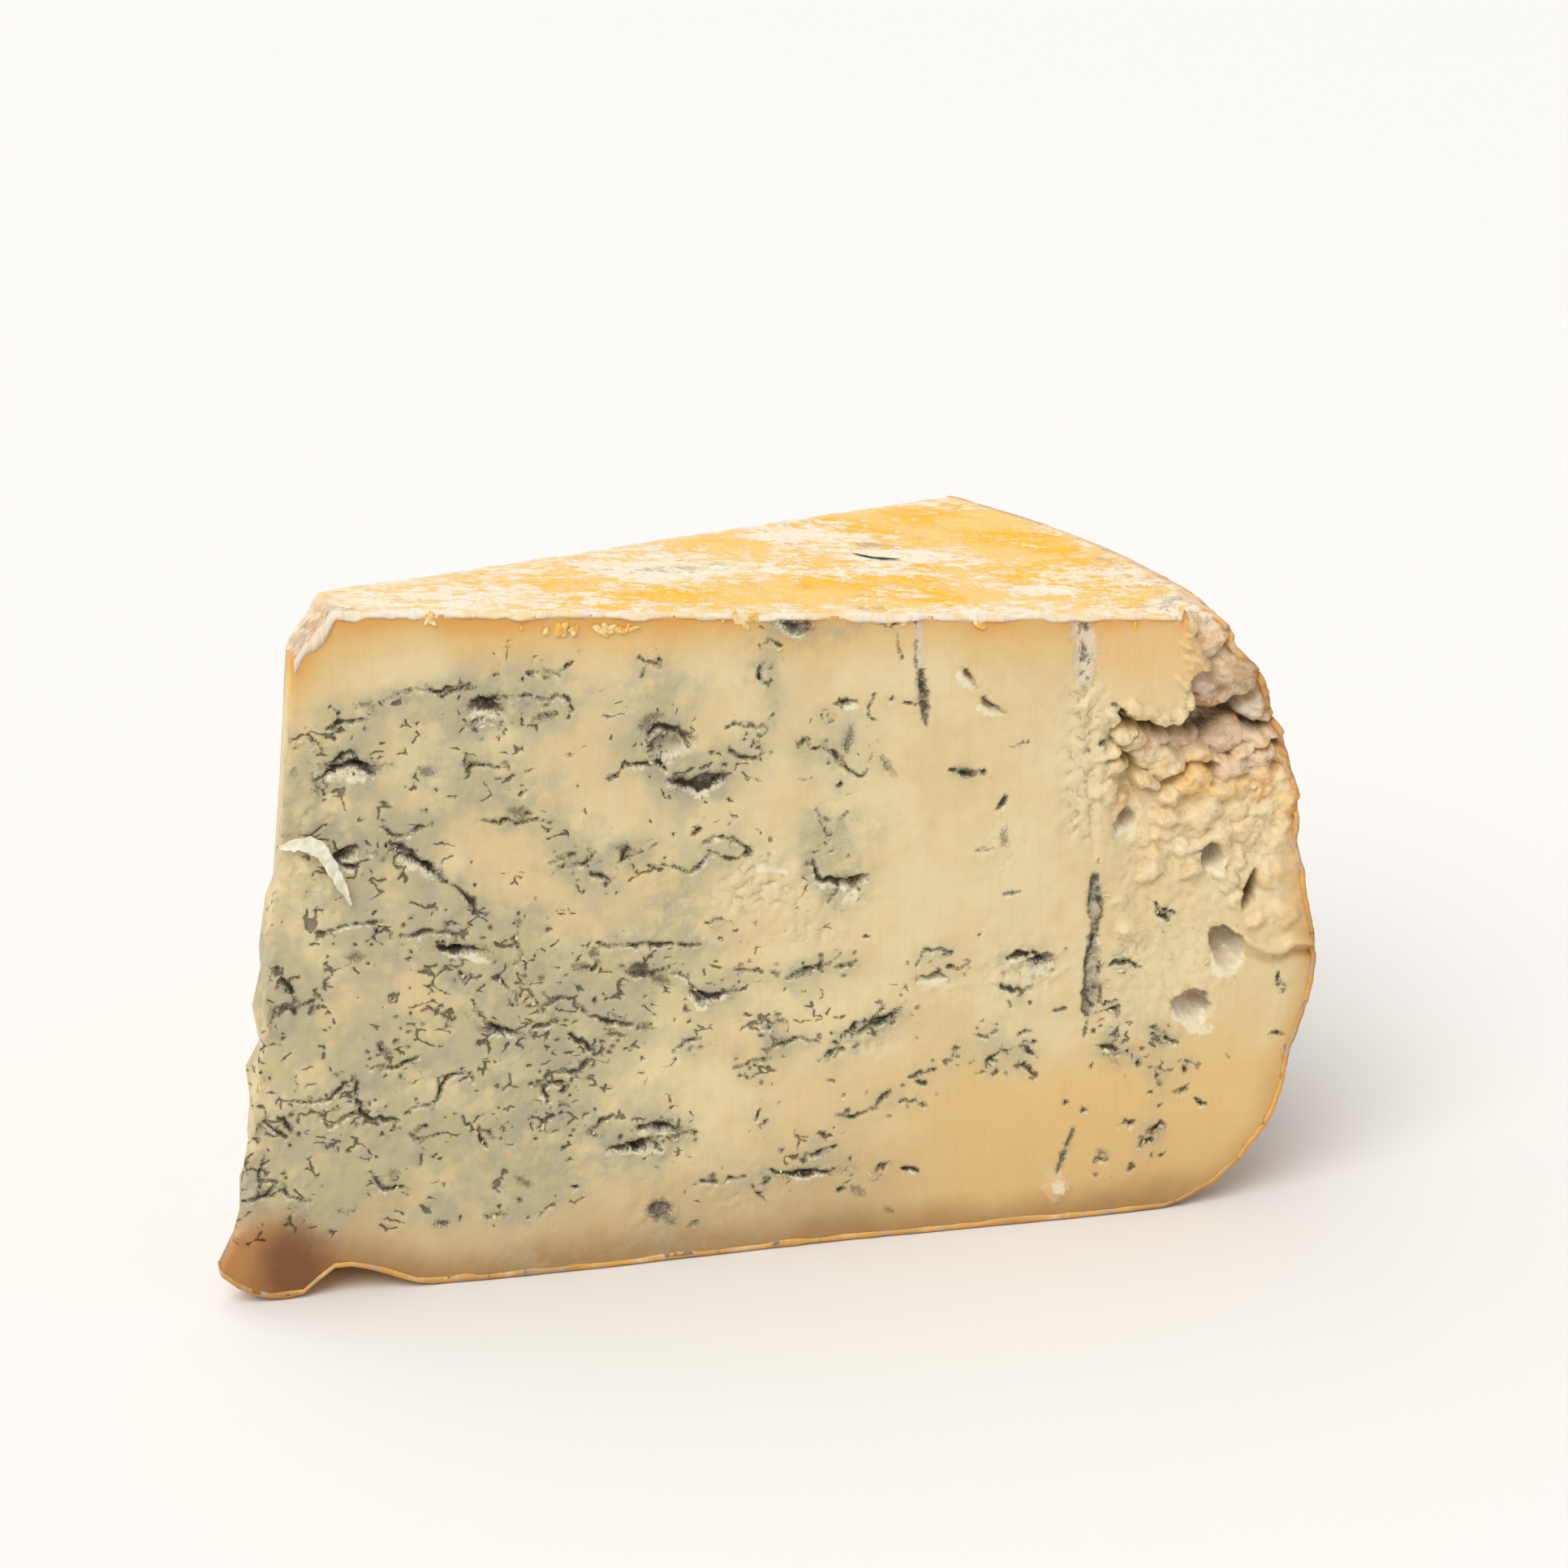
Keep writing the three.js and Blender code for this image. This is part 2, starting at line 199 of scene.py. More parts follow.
lumps = [  # place on the face, how far behind it the lump's front is, half sizes, colour
    (151.7, 93.0, 0.5, 2.6, 2.3, "rosy"), (152.8, 95.9, 0.8, 3.4, 2.0, "white"),
    (154.3, 87.6, 0.3, 3.5, 3.7, "beige"), (156.9, 90.8, 1.4, 2.6, 2.8, "beige"),
    (156.8, 94.4, 1.2, 2.2, 2.6, "brown"), (149.8, 86.2, 1.7, 1.8, 1.6, "lilac"),
    # the brown lump at x 151.3, z 83.7 is darkened as painted shade under the hollow's roof
    (151.3, 83.7, 1.7, 2.7, 1.3, "brown"), (158.6, 81.6, 3.2, 3.4, 3.0, "white"),
    (160.4, 85.4, 1.0, 2.0, 3.0, "amber"), (153.8, 76.4, 3.2, 3.5, 3.2, "rosy"),
    (156.9, 75.4, 2.5, 1.6, 1.2, "yellow"), (147.6, 75.9, 3.4, 2.3, 1.9, "rosy"),
    (160.2, 76.2, 2.8, 2.4, 1.9, "white"), (163.2, 78.6, 0.9, 1.3, 2.6, "orange"),
    (143.6, 76.6, 2.2, 2.4, 1.5, "rosy"), (142.2, 75.0, 1.1, 2.0, 1.6, "pale"),
    (145.2, 73.4, 1.1, 2.4, 1.9, "cream"), (149.6, 73.4, 1.3, 1.9, 1.7, "yellow"),
    (152.3, 73.0, 2.2, 1.2, 1.1, "cream"), (154.2, 70.9, 1.5, 2.4, 1.6, "rosy"),
    (158.4, 72.0, 1.8, 2.3, 2.0, "rosy"), (155.6, 73.1, 2.0, 1.0, 1.3, "cream"),
    (152.3, 67.8, 0.7, 3.6, 1.9, "yellow"), (148.6, 69.6, 0.7, 2.2, 1.8, "yellow"),
    (158.8, 68.7, 1.5, 2.5, 2.0, "orange"), (162.9, 65.8, 0.4, 1.6, 3.7, "yellow"),
    (165.3, 70.4, 0.7, 1.1, 4.2, "orange"), (164.4, 74.6, 1.0, 1.2, 1.9, "white"),
    (156.2, 65.2, 0.8, 2.6, 1.9, "cream"), (159.6, 64.9, 0.9, 1.8, 1.8, "pale"),
    (150.6, 64.5, 0.4, 3.0, 1.7, "pale"), (145.4, 68.7, 0.4, 2.6, 1.6, "cream"),
    (141.4, 71.3, 0.3, 2.4, 1.5, "pale"), (145.8, 65.0, 0.2, 2.6, 1.5, "pale"),
    (153.9, 61.6, 0.4, 2.4, 1.5, "pale"), (158.4, 61.6, 0.5, 2.2, 1.7, "cream"),
    (162.2, 60.0, 0.5, 1.8, 2.2, "cream"), (165.8, 61.0, 0.7, 1.2, 3.0, "rosy"),
    (165.6, 55.6, 0.7, 1.6, 2.7, "rosy"), (161.4, 55.6, 0.4, 2.2, 2.0, "cream"),
    (166.6, 50.6, 0.7, 1.5, 2.6, "cream"), (163.2, 51.0, 0.4, 1.9, 1.9, "yellow"),
    (160.2, 48.2, 0.1, 2.6, 1.4, "yellow"), (164.2, 47.2, 0.3, 2.2, 1.4, "yellow"),
    (140.0, 77.3, 0.8, 2.1, 1.4, "pale"), (137.2, 79.5, -0.5, 2.0, 1.4, "pale"),
    (138.6, 83.6, -0.7, 1.3, 1.0, "pale"), (141.0, 83.0, -0.8, 1.5, 1.3, "cream"),
    (142.9, 81.9, -0.6, 1.6, 1.0, "pale"), (145.4, 82.3, -0.7, 1.4, 1.4, "pale"),
    (147.0, 84.6, -0.5, 1.1, 1.5, "cream"), (147.4, 87.4, -0.4, 1.1, 1.2, "pale"),
    (149.0, 90.2, -0.5, 1.2, 1.4, "cream"), (147.4, 93.4, -0.4, 1.0, 1.8, "pale"),
    (135.0, 76.6, -0.5, 2.2, 1.4, "pale"), (134.4, 81.8, -0.4, 1.6, 1.2, "pale"),
    (136.4, 73.6, -0.4, 2.4, 1.2, "pale"), (134.2, 70.4, -0.3, 1.8, 1.5, "pale"),
    (148.6, 60.8, -0.4, 2.8, 1.2, "pale"), (152.6, 61.4, -0.2, 2.0, 1.2, "cream"),
    (149.8, 55.6, -0.5, 2.0, 1.3, "cream"), (154.4, 54.6, -0.6, 1.5, 2.0, "pale"),
    (156.4, 51.0, -0.5, 1.3, 1.8, "pale"), (162.2, 53.4, -0.5, 2.2, 2.8, "yellow"),
    (164.0, 48.6, -0.8, 2.8, 2.0, "yellow"), (159.8, 47.6, -0.6, 2.2, 1.4, "yellow"),
    (139.4, 46.8, -0.6, 3.2, 1.7, "pale"), (136.6, 52.0, -0.3, 2.0, 1.6, "pale"),
    (141.6, 56.4, -0.3, 2.4, 1.4, "pale"),
]
lumpTones = {
    "pale": (228, 209, 162), "cream": (230, 205, 158), "yellow": (232, 196, 132), "orange": (224, 176, 112),
    "rosy": (218, 190, 158), "beige": (192, 162, 126), "white": (228, 215, 196), "brown": (170, 128, 86),
    "lilac": (202, 176, 158), "amber": (196, 142, 84),
}
curds = {
    "fromX": 130,
    "fromZ": 36,
    "fuse": 1.6,
    "steepness": 4.5,
    "colourBlend": 0.8,
    "roundness": 0.8,
    "power": 2.4,
    "reach": 1.7,  # in half sizes, and a little farther
    "margin": 0.8,
    "wobbleX": ((1.2, 3.0, 25), (0.6, 1.2, 26)),
    "wobbleZ": ((1.2, 3.0, 27), (0.6, 1.2, 28)),
    "least": 0.05,
    "craggy": ((0.34, 2.0, 29), (0.3, 1.0, 30), (0.18, 0.5, 51)),
    "craggyShare": 0.7,
    # painted shade: the hollow's lumps turn dark brown with depth, partly as the shade of the recess and partly
    # as the rind's own brown
    "deepFrom": (4.2, 8.0),
    "deepTone": (92, 60, 40),
    "deepShare": 0.85,
}
smallLumps = {
    "count": 46, "x": 151, "z": 68, "halfWide": 16, "halfTall": 11, "radius": (0.9, 2.4), "tall": (0.6, 1.0),
    "raised": (0.3, 0.6), "lowZ": 68, "lowShare": 0.35, "highShare": 0.9, "topZ": 79, "seed": 11,
    "tones": ("pale", "cream", "yellow", "pale", "cream", "rosy"),
}


def insideOutline(x, z, corners):
    inside = np.zeros(x.shape, bool)
    for (ax, az), (bx, bz) in zip(corners, corners[1:] + corners[:1]):
        if az != bz:
            inside ^= ((az > z) != (bz > z)) & (x < (bx - ax) * (z - az) / (bz - az) + ax)
    return inside


def lineDistance(x, z, path):
    best = np.full(x.shape, 1e3)
    for (ax, az), (bx, bz) in zip(path[:-1], path[1:]):
        run, climb = bx - ax, bz - az
        share = np.clip(((x - ax) * run + (z - az) * climb) / (run * run + climb * climb), 0, 1)
        best = np.minimum(best, np.hypot(x - ax - share * run, z - az - share * climb))
    return best


def hollowFloor(x, z):  # how far behind the front cut the hollow's bare floor lies
    places = np.stack([x, 0 * x, z], axis=1)
    x, z = uneven(places, *hollow["jagX"], start=x), uneven(places, *hollow["jagZ"], start=z)
    within = insideOutline(x, z, ledge + hollow["farEdge"])
    wall = np.where(within, ease(lineDistance(x, z, ledge), *hollow["wall"]), 0)
    deep = np.interp(z, hollow["heights"], hollow["depths"])
    byRim = mix(1, hollow["rimShare"], ease(x, *hollow["rimX"]))
    return wall * deep * ease(x, *hollow["startX"]) * byRim * uneven(places, (0.12, 5, 23), start=1)


def allLumps():
    draw = np.random.default_rng(smallLumps["seed"])
    names = smallLumps["tones"]
    goldenAngle = math.pi * (3 - math.sqrt(5))
    spots = []
    for number in range(smallLumps["count"]):
        spread = math.sqrt((number + 0.5) / smallLumps["count"])
        x = smallLumps["x"] + smallLumps["halfWide"] * spread * math.cos(goldenAngle * number)
        z = smallLumps["z"] + smallLumps["halfTall"] * spread * math.sin(goldenAngle * number)
        radius = draw.uniform(*smallLumps["radius"])
        floor = float(hollowFloor(np.array([x]), np.array([z]))[0])
        tall = radius * draw.uniform(*smallLumps["tall"])
        share = smallLumps["lowShare"] if z < smallLumps["lowZ"] else smallLumps["highShare"]
        raised = draw.uniform(*smallLumps["raised"]) * radius * share
        spots.append((x, z, max(0.0, floor - raised), radius, tall, names[draw.integers(len(names))]))
    return [place for place in spots if place[1] < smallLumps["topZ"]] + lumps


def recess(x, z):  # the hollow with its lumps: depth behind the front cut, colour and how much of it to use
    depth = np.zeros(x.shape)
    colour = np.zeros((len(x), 3))
    share = np.zeros(x.shape)
    at = np.flatnonzero((x > curds["fromX"]) & (z > curds["fromZ"]))
    x, z = x[at], z[at]
    places = np.stack([x, 0 * x, z], axis=1)
    floor = hollowFloor(x, z)
    wobbleX, wobbleZ = uneven(places, *curds["wobbleX"], start=x), uneven(places, *curds["wobbleZ"], start=z)
    shades = {name: np.array(tone(*shade)[:3]) for name, shade in lumpTones.items()}
    fuse, least, reach, margin = (curds[name] for name in ("fuse", "least", "reach", "margin"))
    surface = floor.copy()
    total = least * shades["cream"] * np.ones((len(x), 1))
    weight = np.full(x.shape, least)
    covered = np.zeros(x.shape)
    for middleX, middleZ, front, wide, tall, name in allLumps():
        closeX, closeZ = abs(x - middleX) < reach * wide + margin, abs(z - middleZ) < reach * tall + margin
        near = np.flatnonzero(closeX & closeZ)
        spread = np.hypot((wobbleX[near] - middleX) / wide, (wobbleZ[near] - middleZ) / tall)
        fall = curds["roundness"] * spread ** curds["power"] + curds["steepness"] * np.clip(spread - 1, 0, None)
        bump = front + 0.5 * (wide + tall) * fall
        under = np.clip(0.5 + 0.5 * (bump - surface[near]) / fuse, 0, 1)
        influence = np.exp(-np.clip(bump - surface[near], -4, 12) / curds["colourBlend"])
        surface[near] = surface[near] * under + bump * (1 - under) - fuse * under * (1 - under)
        total[near] += influence[:, None] * shades[name]
        weight[near] += influence
        covered[near] = np.maximum(covered[near], ease(spread, 1.3, 0.9))
    craggy = np.maximum(np.clip(floor, 0, 1), curds["craggyShare"] * covered)
    surface += craggy * uneven(places, *curds["craggy"])
    # painted shade: the deeper the surface lies, the more it takes the dark brown tone, partly the recess's
    # shade and partly the rind's brown
    deep = curds["deepShare"] * ease(surface, *curds["deepFrom"])[:, None]
    depth[at] = surface
    colour[at] = mix(total / weight[:, None], np.array(tone(*curds["deepTone"])[:3]), deep)
    standing = np.maximum(ease(floor, 0.1, 0.8), 0.6 * ease(surface, -0.15, -0.7))
    share[at] = np.maximum(ease(floor, 0.8, 3.0), 0.75 * covered * standing)
    return depth, colour, share


def behindCut(points, y, depth):  # moves what lies near the front cut back, less the farther behind it
    points[:, 1] += np.where(y < hollow["reach"], depth * (1 - y / hollow["reach"]), 0)


rimSwell = {"most": 2.3, "from": 58, "full": 71, "to": 93, "ebb": 87, "uneven": (0.25, 7.0, 71),
            "dent": 1.3, "dentZ": 25, "dentTall": 7, "fromX": (146, 158), "depth": (45, 10)}


def swollen(points, rest):  # the rim bulges beside the hollow and is worn a little below it
    x, y, z = rest.T
    bulge = rimSwell["most"] * ease(z, rimSwell["from"], rimSwell["full"])
    bulge *= ease(z, rimSwell["to"], rimSwell["ebb"])
    bulge *= uneven(rest, rimSwell["uneven"], start=1)
    bulge -= rimSwell["dent"] * np.exp(-((z - rimSwell["dentZ"]) / rimSwell["dentTall"]) ** 2)
    points[:, 0] += bulge * ease(x, *rimSwell["fromX"]) * ease(y, *rimSwell["depth"])


rindRelief = {  # on top, base and rim: the depth of the coarse, lumpy, fine and flaky dips
    "top": (0.10, 0.10, 0.09, 0.14), "base": (0.12, 0, 0.06, 0), "rim": (0.34, 0.36, 0.16, 0.14),
}


def rindDips(places):  # how far the rind's outer side lies below the even wheel: on top, base and rim
    coarse = uneven(places, (0.5, 11, 41), start=0.5)
    lumpy = uneven(places * (0.6, 1, 1), (0.5, 3.4, 42), start=0.5)
    fine = uneven(places, (0.5, 1.1, 43), start=0.5)
    flaky = ease(unevenness(places * (0.5, 1, 1), 2.1, 44), -0.1, 0.25)
    for depths in rindRelief.values():
        yield sum(depth * layer for depth, layer in zip(depths, (coarse, lumpy, fine, flaky)))
    yield lumpy


def latticeBox(counts):  # the skin of a box of cells: shares of the way along each side, and quads facing out
    quads = []
    for axis in range(3):
        u, v = [other for other in range(3) if other != axis]
        iu, iv = np.meshgrid(np.arange(counts[u]), np.arange(counts[v]), indexing="ij")
        for side in (0, counts[axis]):
            ring = ((0, 0), (1, 0), (1, 1), (0, 1))
            if (side == 0) != (axis == 1):
                ring = ring[::-1]
            corners = []
            for stepU, stepV in ring:
                place = np.zeros((iu.size, 3), np.int64)
                place[:, axis] = side
                place[:, u] = (iu + stepU).ravel()
                place[:, v] = (iv + stepV).ravel()
                corners.append((place[:, 0] * (counts[1] + 1) + place[:, 1]) * (counts[2] + 1) + place[:, 2])
            quads.append(np.stack(corners, axis=1))
    keys, index = np.unique(np.concatenate(quads), return_inverse=True)
    k = keys % (counts[2] + 1)
    j = keys // (counts[2] + 1) % (counts[1] + 1)
    i = keys // ((counts[1] + 1) * (counts[2] + 1))
    return i / counts[0], j / counts[1], k / counts[2], index.reshape(-1, 4)


def insideBox(points):
    return np.clip(points, np.array(cadLow) + cadMargin, np.array(cadHigh) - cadMargin)


def inFrame(points):
    moved = np.array(points, float)
    moved[:, :2] += wheel["axis"]
    moved[:, 2] = np.maximum(moved[:, 2], 0)
    moved /= 1000
    return insideBox(moved)


def meshFrom(name, points, faces):
    mesh = bpy.data.meshes.new(name)
    sides = faces.shape[1]
    mesh.vertices.add(len(points))
    mesh.vertices.foreach_set("co", np.asarray(points, np.float32).ravel())
    mesh.loops.add(faces.size)
    mesh.loops.foreach_set("vertex_index", faces.astype(np.int32).ravel())
    mesh.polygons.add(len(faces))
    mesh.polygons.foreach_set("loop_start", np.arange(0, faces.size, sides, dtype=np.int32))
    mesh.update(calc_edges=True)
    mesh.validate()
    piece = bpy.data.objects.new(name, mesh)
    bpy.context.scene.collection.objects.link(piece)
    return piece


def storeVectors(piece, **attributes):
    for name, values in attributes.items():
        attribute = piece.data.attributes.new(name, "FLOAT_VECTOR", "POINT")
        attribute.data.foreach_set("vector", np.asarray(values, np.float32).ravel())


def coordinates(mesh):
    places = np.zeros(len(mesh.vertices) * 3, np.float32)
    mesh.vertices.foreach_get("co", places)
    return places.reshape(-1, 3)


def triangleCount(mesh):
    return sum(len(face.vertices) - 2 for face in mesh.polygons)


def settled(piece, material):  # modifiers become plain mesh
    depsgraph = bpy.context.evaluated_depsgraph_get()
    mesh = bpy.data.meshes.new_from_object(piece.evaluated_get(depsgraph))
    mesh.vertices.foreach_set("co", insideBox(coordinates(mesh)).astype(np.float32).ravel())
    piece.modifiers.clear()
    piece.data = mesh
    mesh.name = piece.name
    mesh.materials.clear()
    mesh.materials.append(material)
    mesh.polygons.foreach_set("use_smooth", np.ones(len(mesh.polygons), bool))
    mesh.update()
    print(piece.name, "has", triangleCount(mesh), "triangles")
    return piece


class Field:  # a socket in a node tree, which takes + - and * as numbers do
    def __init__(self, socket):
        self.socket, self.tree = socket, socket.id_data

    def __add__(self, other):
        return calc("ADD", self, other)

    def __sub__(self, other):
        return calc("SUBTRACT", self, other)

    def __mul__(self, other):
        return calc("MULTIPLY", self, other)


def plug(value, socket):
    if isinstance(value, Field):
        value.tree.links.new(value.socket, socket)
    elif value is not None:
        socket.default_value = value


def nodeOf(tree, kind, inputs, **settings):  # inputs by the socket's name or number
    node = tree.nodes.new(kind)
    for name, value in settings.items():
        setattr(node, name, value)
    for key, value in inputs.items():
        plug(value, node.inputs[key])
    return node


def outputsOf(node):
    return {socket.name: Field(socket) for socket in node.outputs}


def calc(operation, *values, clamp=False):
    tree = next(value.tree for value in values if isinstance(value, Field))
    inputs = dict(enumerate(values))
    return Field(nodeOf(tree, "ShaderNodeMath", inputs, operation=operation, use_clamp=clamp).outputs[0])


def scaled(value, factor, plus, clamp=False):  # value times factor, plus the third
    return calc("MULTIPLY_ADD", value, factor, plus, clamp=clamp)


def most(*values):
    return calc("MAXIMUM", *values)


def vectorCalc(operation, a, b=None, scale=None, output=0):
    inputs = {0: a, 1: b, 3: scale}
    return Field(nodeOf(a.tree, "ShaderNodeVectorMath", inputs, operation=operation).outputs[output])


def step(value, start, end, low=0.0, high=1.0):  # eases from low at start to high at end
    inputs = dict(enumerate((value, start, end, low, high)))
    return Field(nodeOf(value.tree, "ShaderNodeMapRange", inputs, interpolation_type="SMOOTHSTEP").outputs[0])


def noise(place, size, detail=2.0, rough=0.5, shift=0.0, output=0):  # lumps about size mm across
    moved = vectorCalc("ADD", place, (shift, 1.7 * shift, -2.3 * shift))
    inputs = {"Vector": moved, "Scale": 1 / size, "Detail": detail, "Roughness": rough}
    return Field(nodeOf(place.tree, "ShaderNodeTexNoise", inputs).outputs[output])


def swirl(place, size, detail=2.0, rough=0.5, shift=0.0):  # the same noise as a vector about zero
    return vectorCalc("SUBTRACT", noise(place, size, detail, rough, shift, "Color"), (0.5, 0.5, 0.5))


def nudged(place, shift, amount):
    return vectorCalc("ADD", place, vectorCalc("SCALE", shift, scale=amount))


def cells(place, size, feature="F1", shift=0.0):
    inputs = {"Vector": vectorCalc("ADD", place, (shift, 1.3 * shift, 2.1 * shift)), "Scale": 1 / size}
    return outputsOf(nodeOf(place.tree, "ShaderNodeTexVoronoi", inputs, feature=feature))


def blend(share, a, b):
    return Field(nodeOf(share.tree, "ShaderNodeMix", {0: share, 6: a, 7: b}, data_type="RGBA").outputs[2])


def layered(colour, *layers):  # each layer's share and colour, from the lowest up
    for share, shade in layers:
        colour = blend(share, colour, shade)
    return colour


def split(vector):
    return [Field(socket) for socket in nodeOf(vector.tree, "ShaderNodeSeparateXYZ", {0: vector}).outputs]


veins = {"level": (0.75, 0.9, 1.25), "cell": 3.3, "widest": 0.13, "dotCell": 1.9, "dotSize": 0.27,
         "bend": 3.4, "ragged": 0.9, "patch": (0.62, 0.74), "broken": (0.46, 0.58)}


def veinField(rest, veining):  # fine cracks and dots between the drawn ones, the same for mesh and colour
    bend, ragged = swirl(rest, 4.0, 1.0), swirl(rest, 0.8, 2.0, 0.6, 5.0)
    place = nudged(nudged(rest, bend, veins["bend"]), ragged, veins["ragged"])
    flat = vectorCalc("MULTIPLY", place, veins["level"])
    where = scaled(veining, 0.2, noise(rest, 4.0, 1.0, shift=11.0))
    broken = step(noise(rest, 1.9, 1.0, shift=23.0), *veins["broken"])
    gap = cells(flat, veins["cell"], "DISTANCE_TO_EDGE", 3.0)["Distance"] * veins["cell"]
    width = step(where, *veins["patch"]) * broken * veins["widest"] * step(veining, 0.12, 0.45)
    mask = step(width - gap, -0.09, 0.05) * step(width, 0.01, 0.06)
    dots = cells(place, veins["dotCell"], "F1", 41.0)
    keep = scaled(veining, 0.38, split(dots["Color"])[0])
    size = split(dots["Color"])[1] * (veins["dotSize"] / veins["dotCell"])
    dot = step(size - dots["Distance"], -0.04, 0.02) * step(keep, 0.93, 1.0)
    return most(mask, dot * step(veining, 0.03, 0.15))


def crumbField(rest):  # rounded crumbs with creases between, near 1 on a crumb and 0 in a crease
    bent = nudged(rest, swirl(rest, 2.0, 2.0, 0.6, 33.0), 2.6)
    large = calc("ABSOLUTE", noise(bent, 3.4, 1.0, 0.5, 4.0) - 0.5)
    fine = calc("ABSOLUTE", noise(bent, 1.4, 1.0, 0.5, 9.0) - 0.5)
    return scaled(fine, 1.8, large * 4.0)


def groupOf(name, kind, inputs, outputs):  # its tree, the fields that come in and the sockets that go out
    tree = bpy.data.node_groups.new(name, kind)
    for way, sockets in (("INPUT", inputs), ("OUTPUT", outputs)):
        for label, socketKind in sockets.items():
            tree.interface.new_socket(label, in_out=way, socket_type="NodeSocket" + socketKind)
    return tree, outputsOf(tree.nodes.new("NodeGroupInput")), tree.nodes.new("NodeGroupOutput").inputs


def makeVeinGroup():
    inputs = {"Rest": "Vector", "Veining": "Float", "Crack Gap": "Float", "Mold Gap": "Float"}
    outputs = {"Crack": "Float", "Edge": "Float", "Fuzz": "Float", "Crease": "Float"}
    tree, given, made = groupOf("veinMarks", "ShaderNodeTree", inputs, outputs)
    rest = given["Rest"]
    ragged = noise(rest, 0.55, 4.0, 0.7, 51.0) - 0.5
    tangle = calc("ABSOLUTE", noise(rest, 0.75, 3.0, 0.6, 61.0) - 0.5)
    threads = step(tangle, 0.085, 0.0)
    gap = scaled(ragged, 0.5, given["Crack Gap"])
    whiskers = threads * 0.75 * step(gap, -0.5, 0.0)
    dotted = most(veinField(rest, given["Veining"]) * 0.8, whiskers)
    soft = scaled(ragged, 0.9, given["Mold Gap"])
    felt = step(soft, -0.4, 0.6) * 0.6
    plug(most(dotted, step(gap, -0.07, 0.06)), made["Crack"])
    plug(step(gap, -0.42, 0.02), made["Edge"])
    plug(most(felt, threads * step(soft, -0.7, 0.25)), made["Fuzz"])
    plug(step(crumbField(rest), 0.3, 0.05), made["Crease"])
    return tree


def makeGrainGroup():  # the moist close grain of cheese: a height and a slight change of shade
    inputs, outputs = {"Rest": "Vector", "Coarseness": "Float"}, {"Height": "Float", "Shade": "Float"}
    tree, given, made = groupOf("cheeseGrain", "ShaderNodeTree", inputs, outputs)
    rest = given["Rest"]
    fine, lumpy = noise(rest, 0.6, 3.0, 0.55), noise(rest, 2.6, 2.0, 0.5, 7.0)
    plug(scaled(lumpy, 0.6, fine * 0.4) * given["Coarseness"], made["Height"])
    plug(noise(rest, 9.0, 3.0, 0.55, 13.0), made["Shade"])
    return tree


veinGroup = makeVeinGroup()
grainGroup = makeGrainGroup()


def newMaterial(name):
    material = bpy.data.materials.new(name)
    material.use_nodes = True
    tree = material.node_tree
    tree.nodes.clear()
    shader = tree.nodes.new("ShaderNodeBsdfPrincipled")
    output = tree.nodes.new("ShaderNodeOutputMaterial")
    tree.links.new(shader.outputs["BSDF"], output.inputs["Surface"])
    return material, tree, shader


def attribute(tree, name):
    return outputsOf(nodeOf(tree, "ShaderNodeAttribute", {}, attribute_name=name))


def placed(group, inputs):
    return outputsOf(nodeOf(inputs["Rest"].tree, "ShaderNodeGroup", inputs, node_tree=group))


def bumped(shader, height, distance, strength):
    bump = nodeOf(height.tree, "ShaderNodeBump", {"Strength": strength, "Distance": distance, "Height": height})
    plug(Field(bump.outputs["Normal"]), shader.inputs["Normal"])


def waxy(shader, weight, depth, roughness):  # light sinks a little way in
    values = {"Subsurface Weight": weight, "Subsurface Radius": (1.0, 0.6, 0.28), "Subsurface Scale": depth,
              "IOR": 1.42, "Roughness": roughness}
    for name, value in values.items():
        shader.inputs[name].default_value = value


pasteTones = {
    "clean": tone(218, 194, 144), "cream": tone(224, 206, 160), "underRind": tone(216, 150, 62),
    "band": tone(220, 178, 106), "nearBase": tone(150, 106, 54), "nearRim": tone(202, 154, 88),
    "amber": tone(186, 130, 68), "warm": tone(220, 183, 118), "foot": tone(178, 122, 66),
    "footDark": tone(108, 66, 34), "halo": tone(170, 162, 136), "haloGreen": tone(179, 170, 133),
    "edge": tone(110, 99, 75), "crack": tone(48, 40, 29), "bluish": tone(84, 79, 66),
    "pale": tone(225, 210, 170), "crease": tone(168, 148, 100), "block": tone(226, 186, 126),
    "white": tone(232, 222, 192),
    "stain": tone(212, 158, 90), "fluff": tone(226, 212, 186), "stainDark": tone(156, 112, 74),
}
pasteFades = {  # distances in mm, or x or z, at which a shade begins and is full
    "band": (11.0, 2.0),  # under the top
    "underRind": (4.5, -0.5),
    "block": (21.0, 8.0),
    # painted shade: the paste darkens towards the base, broadly and then close by it
    "blockX": (130.0, 138.0),
    "nearBase": (24.0, 2.0),
    "baseEdge": (7.5, 0.5),
    "warmX": (92.0, 116.0),
    "warmZ": (33.0, 22.0),
    "nearRim": (6.0, 0.2),
    "amber": (3.0, 1.4),
}
footStains = [  # by the tip's foot: middle, how each way counts, wander, from and to, most, colour
    ((2.6, 0.0, 3.4), (0.13, 0.1, 0.15), 0.9, (2.1, 0.9), 0.9, "foot"),
    ((8.0, 0.0, 4.5), (0.17, 0.1, 0.14), 1.2, (1.5, 0.5), 0.85, "footDark"),
]


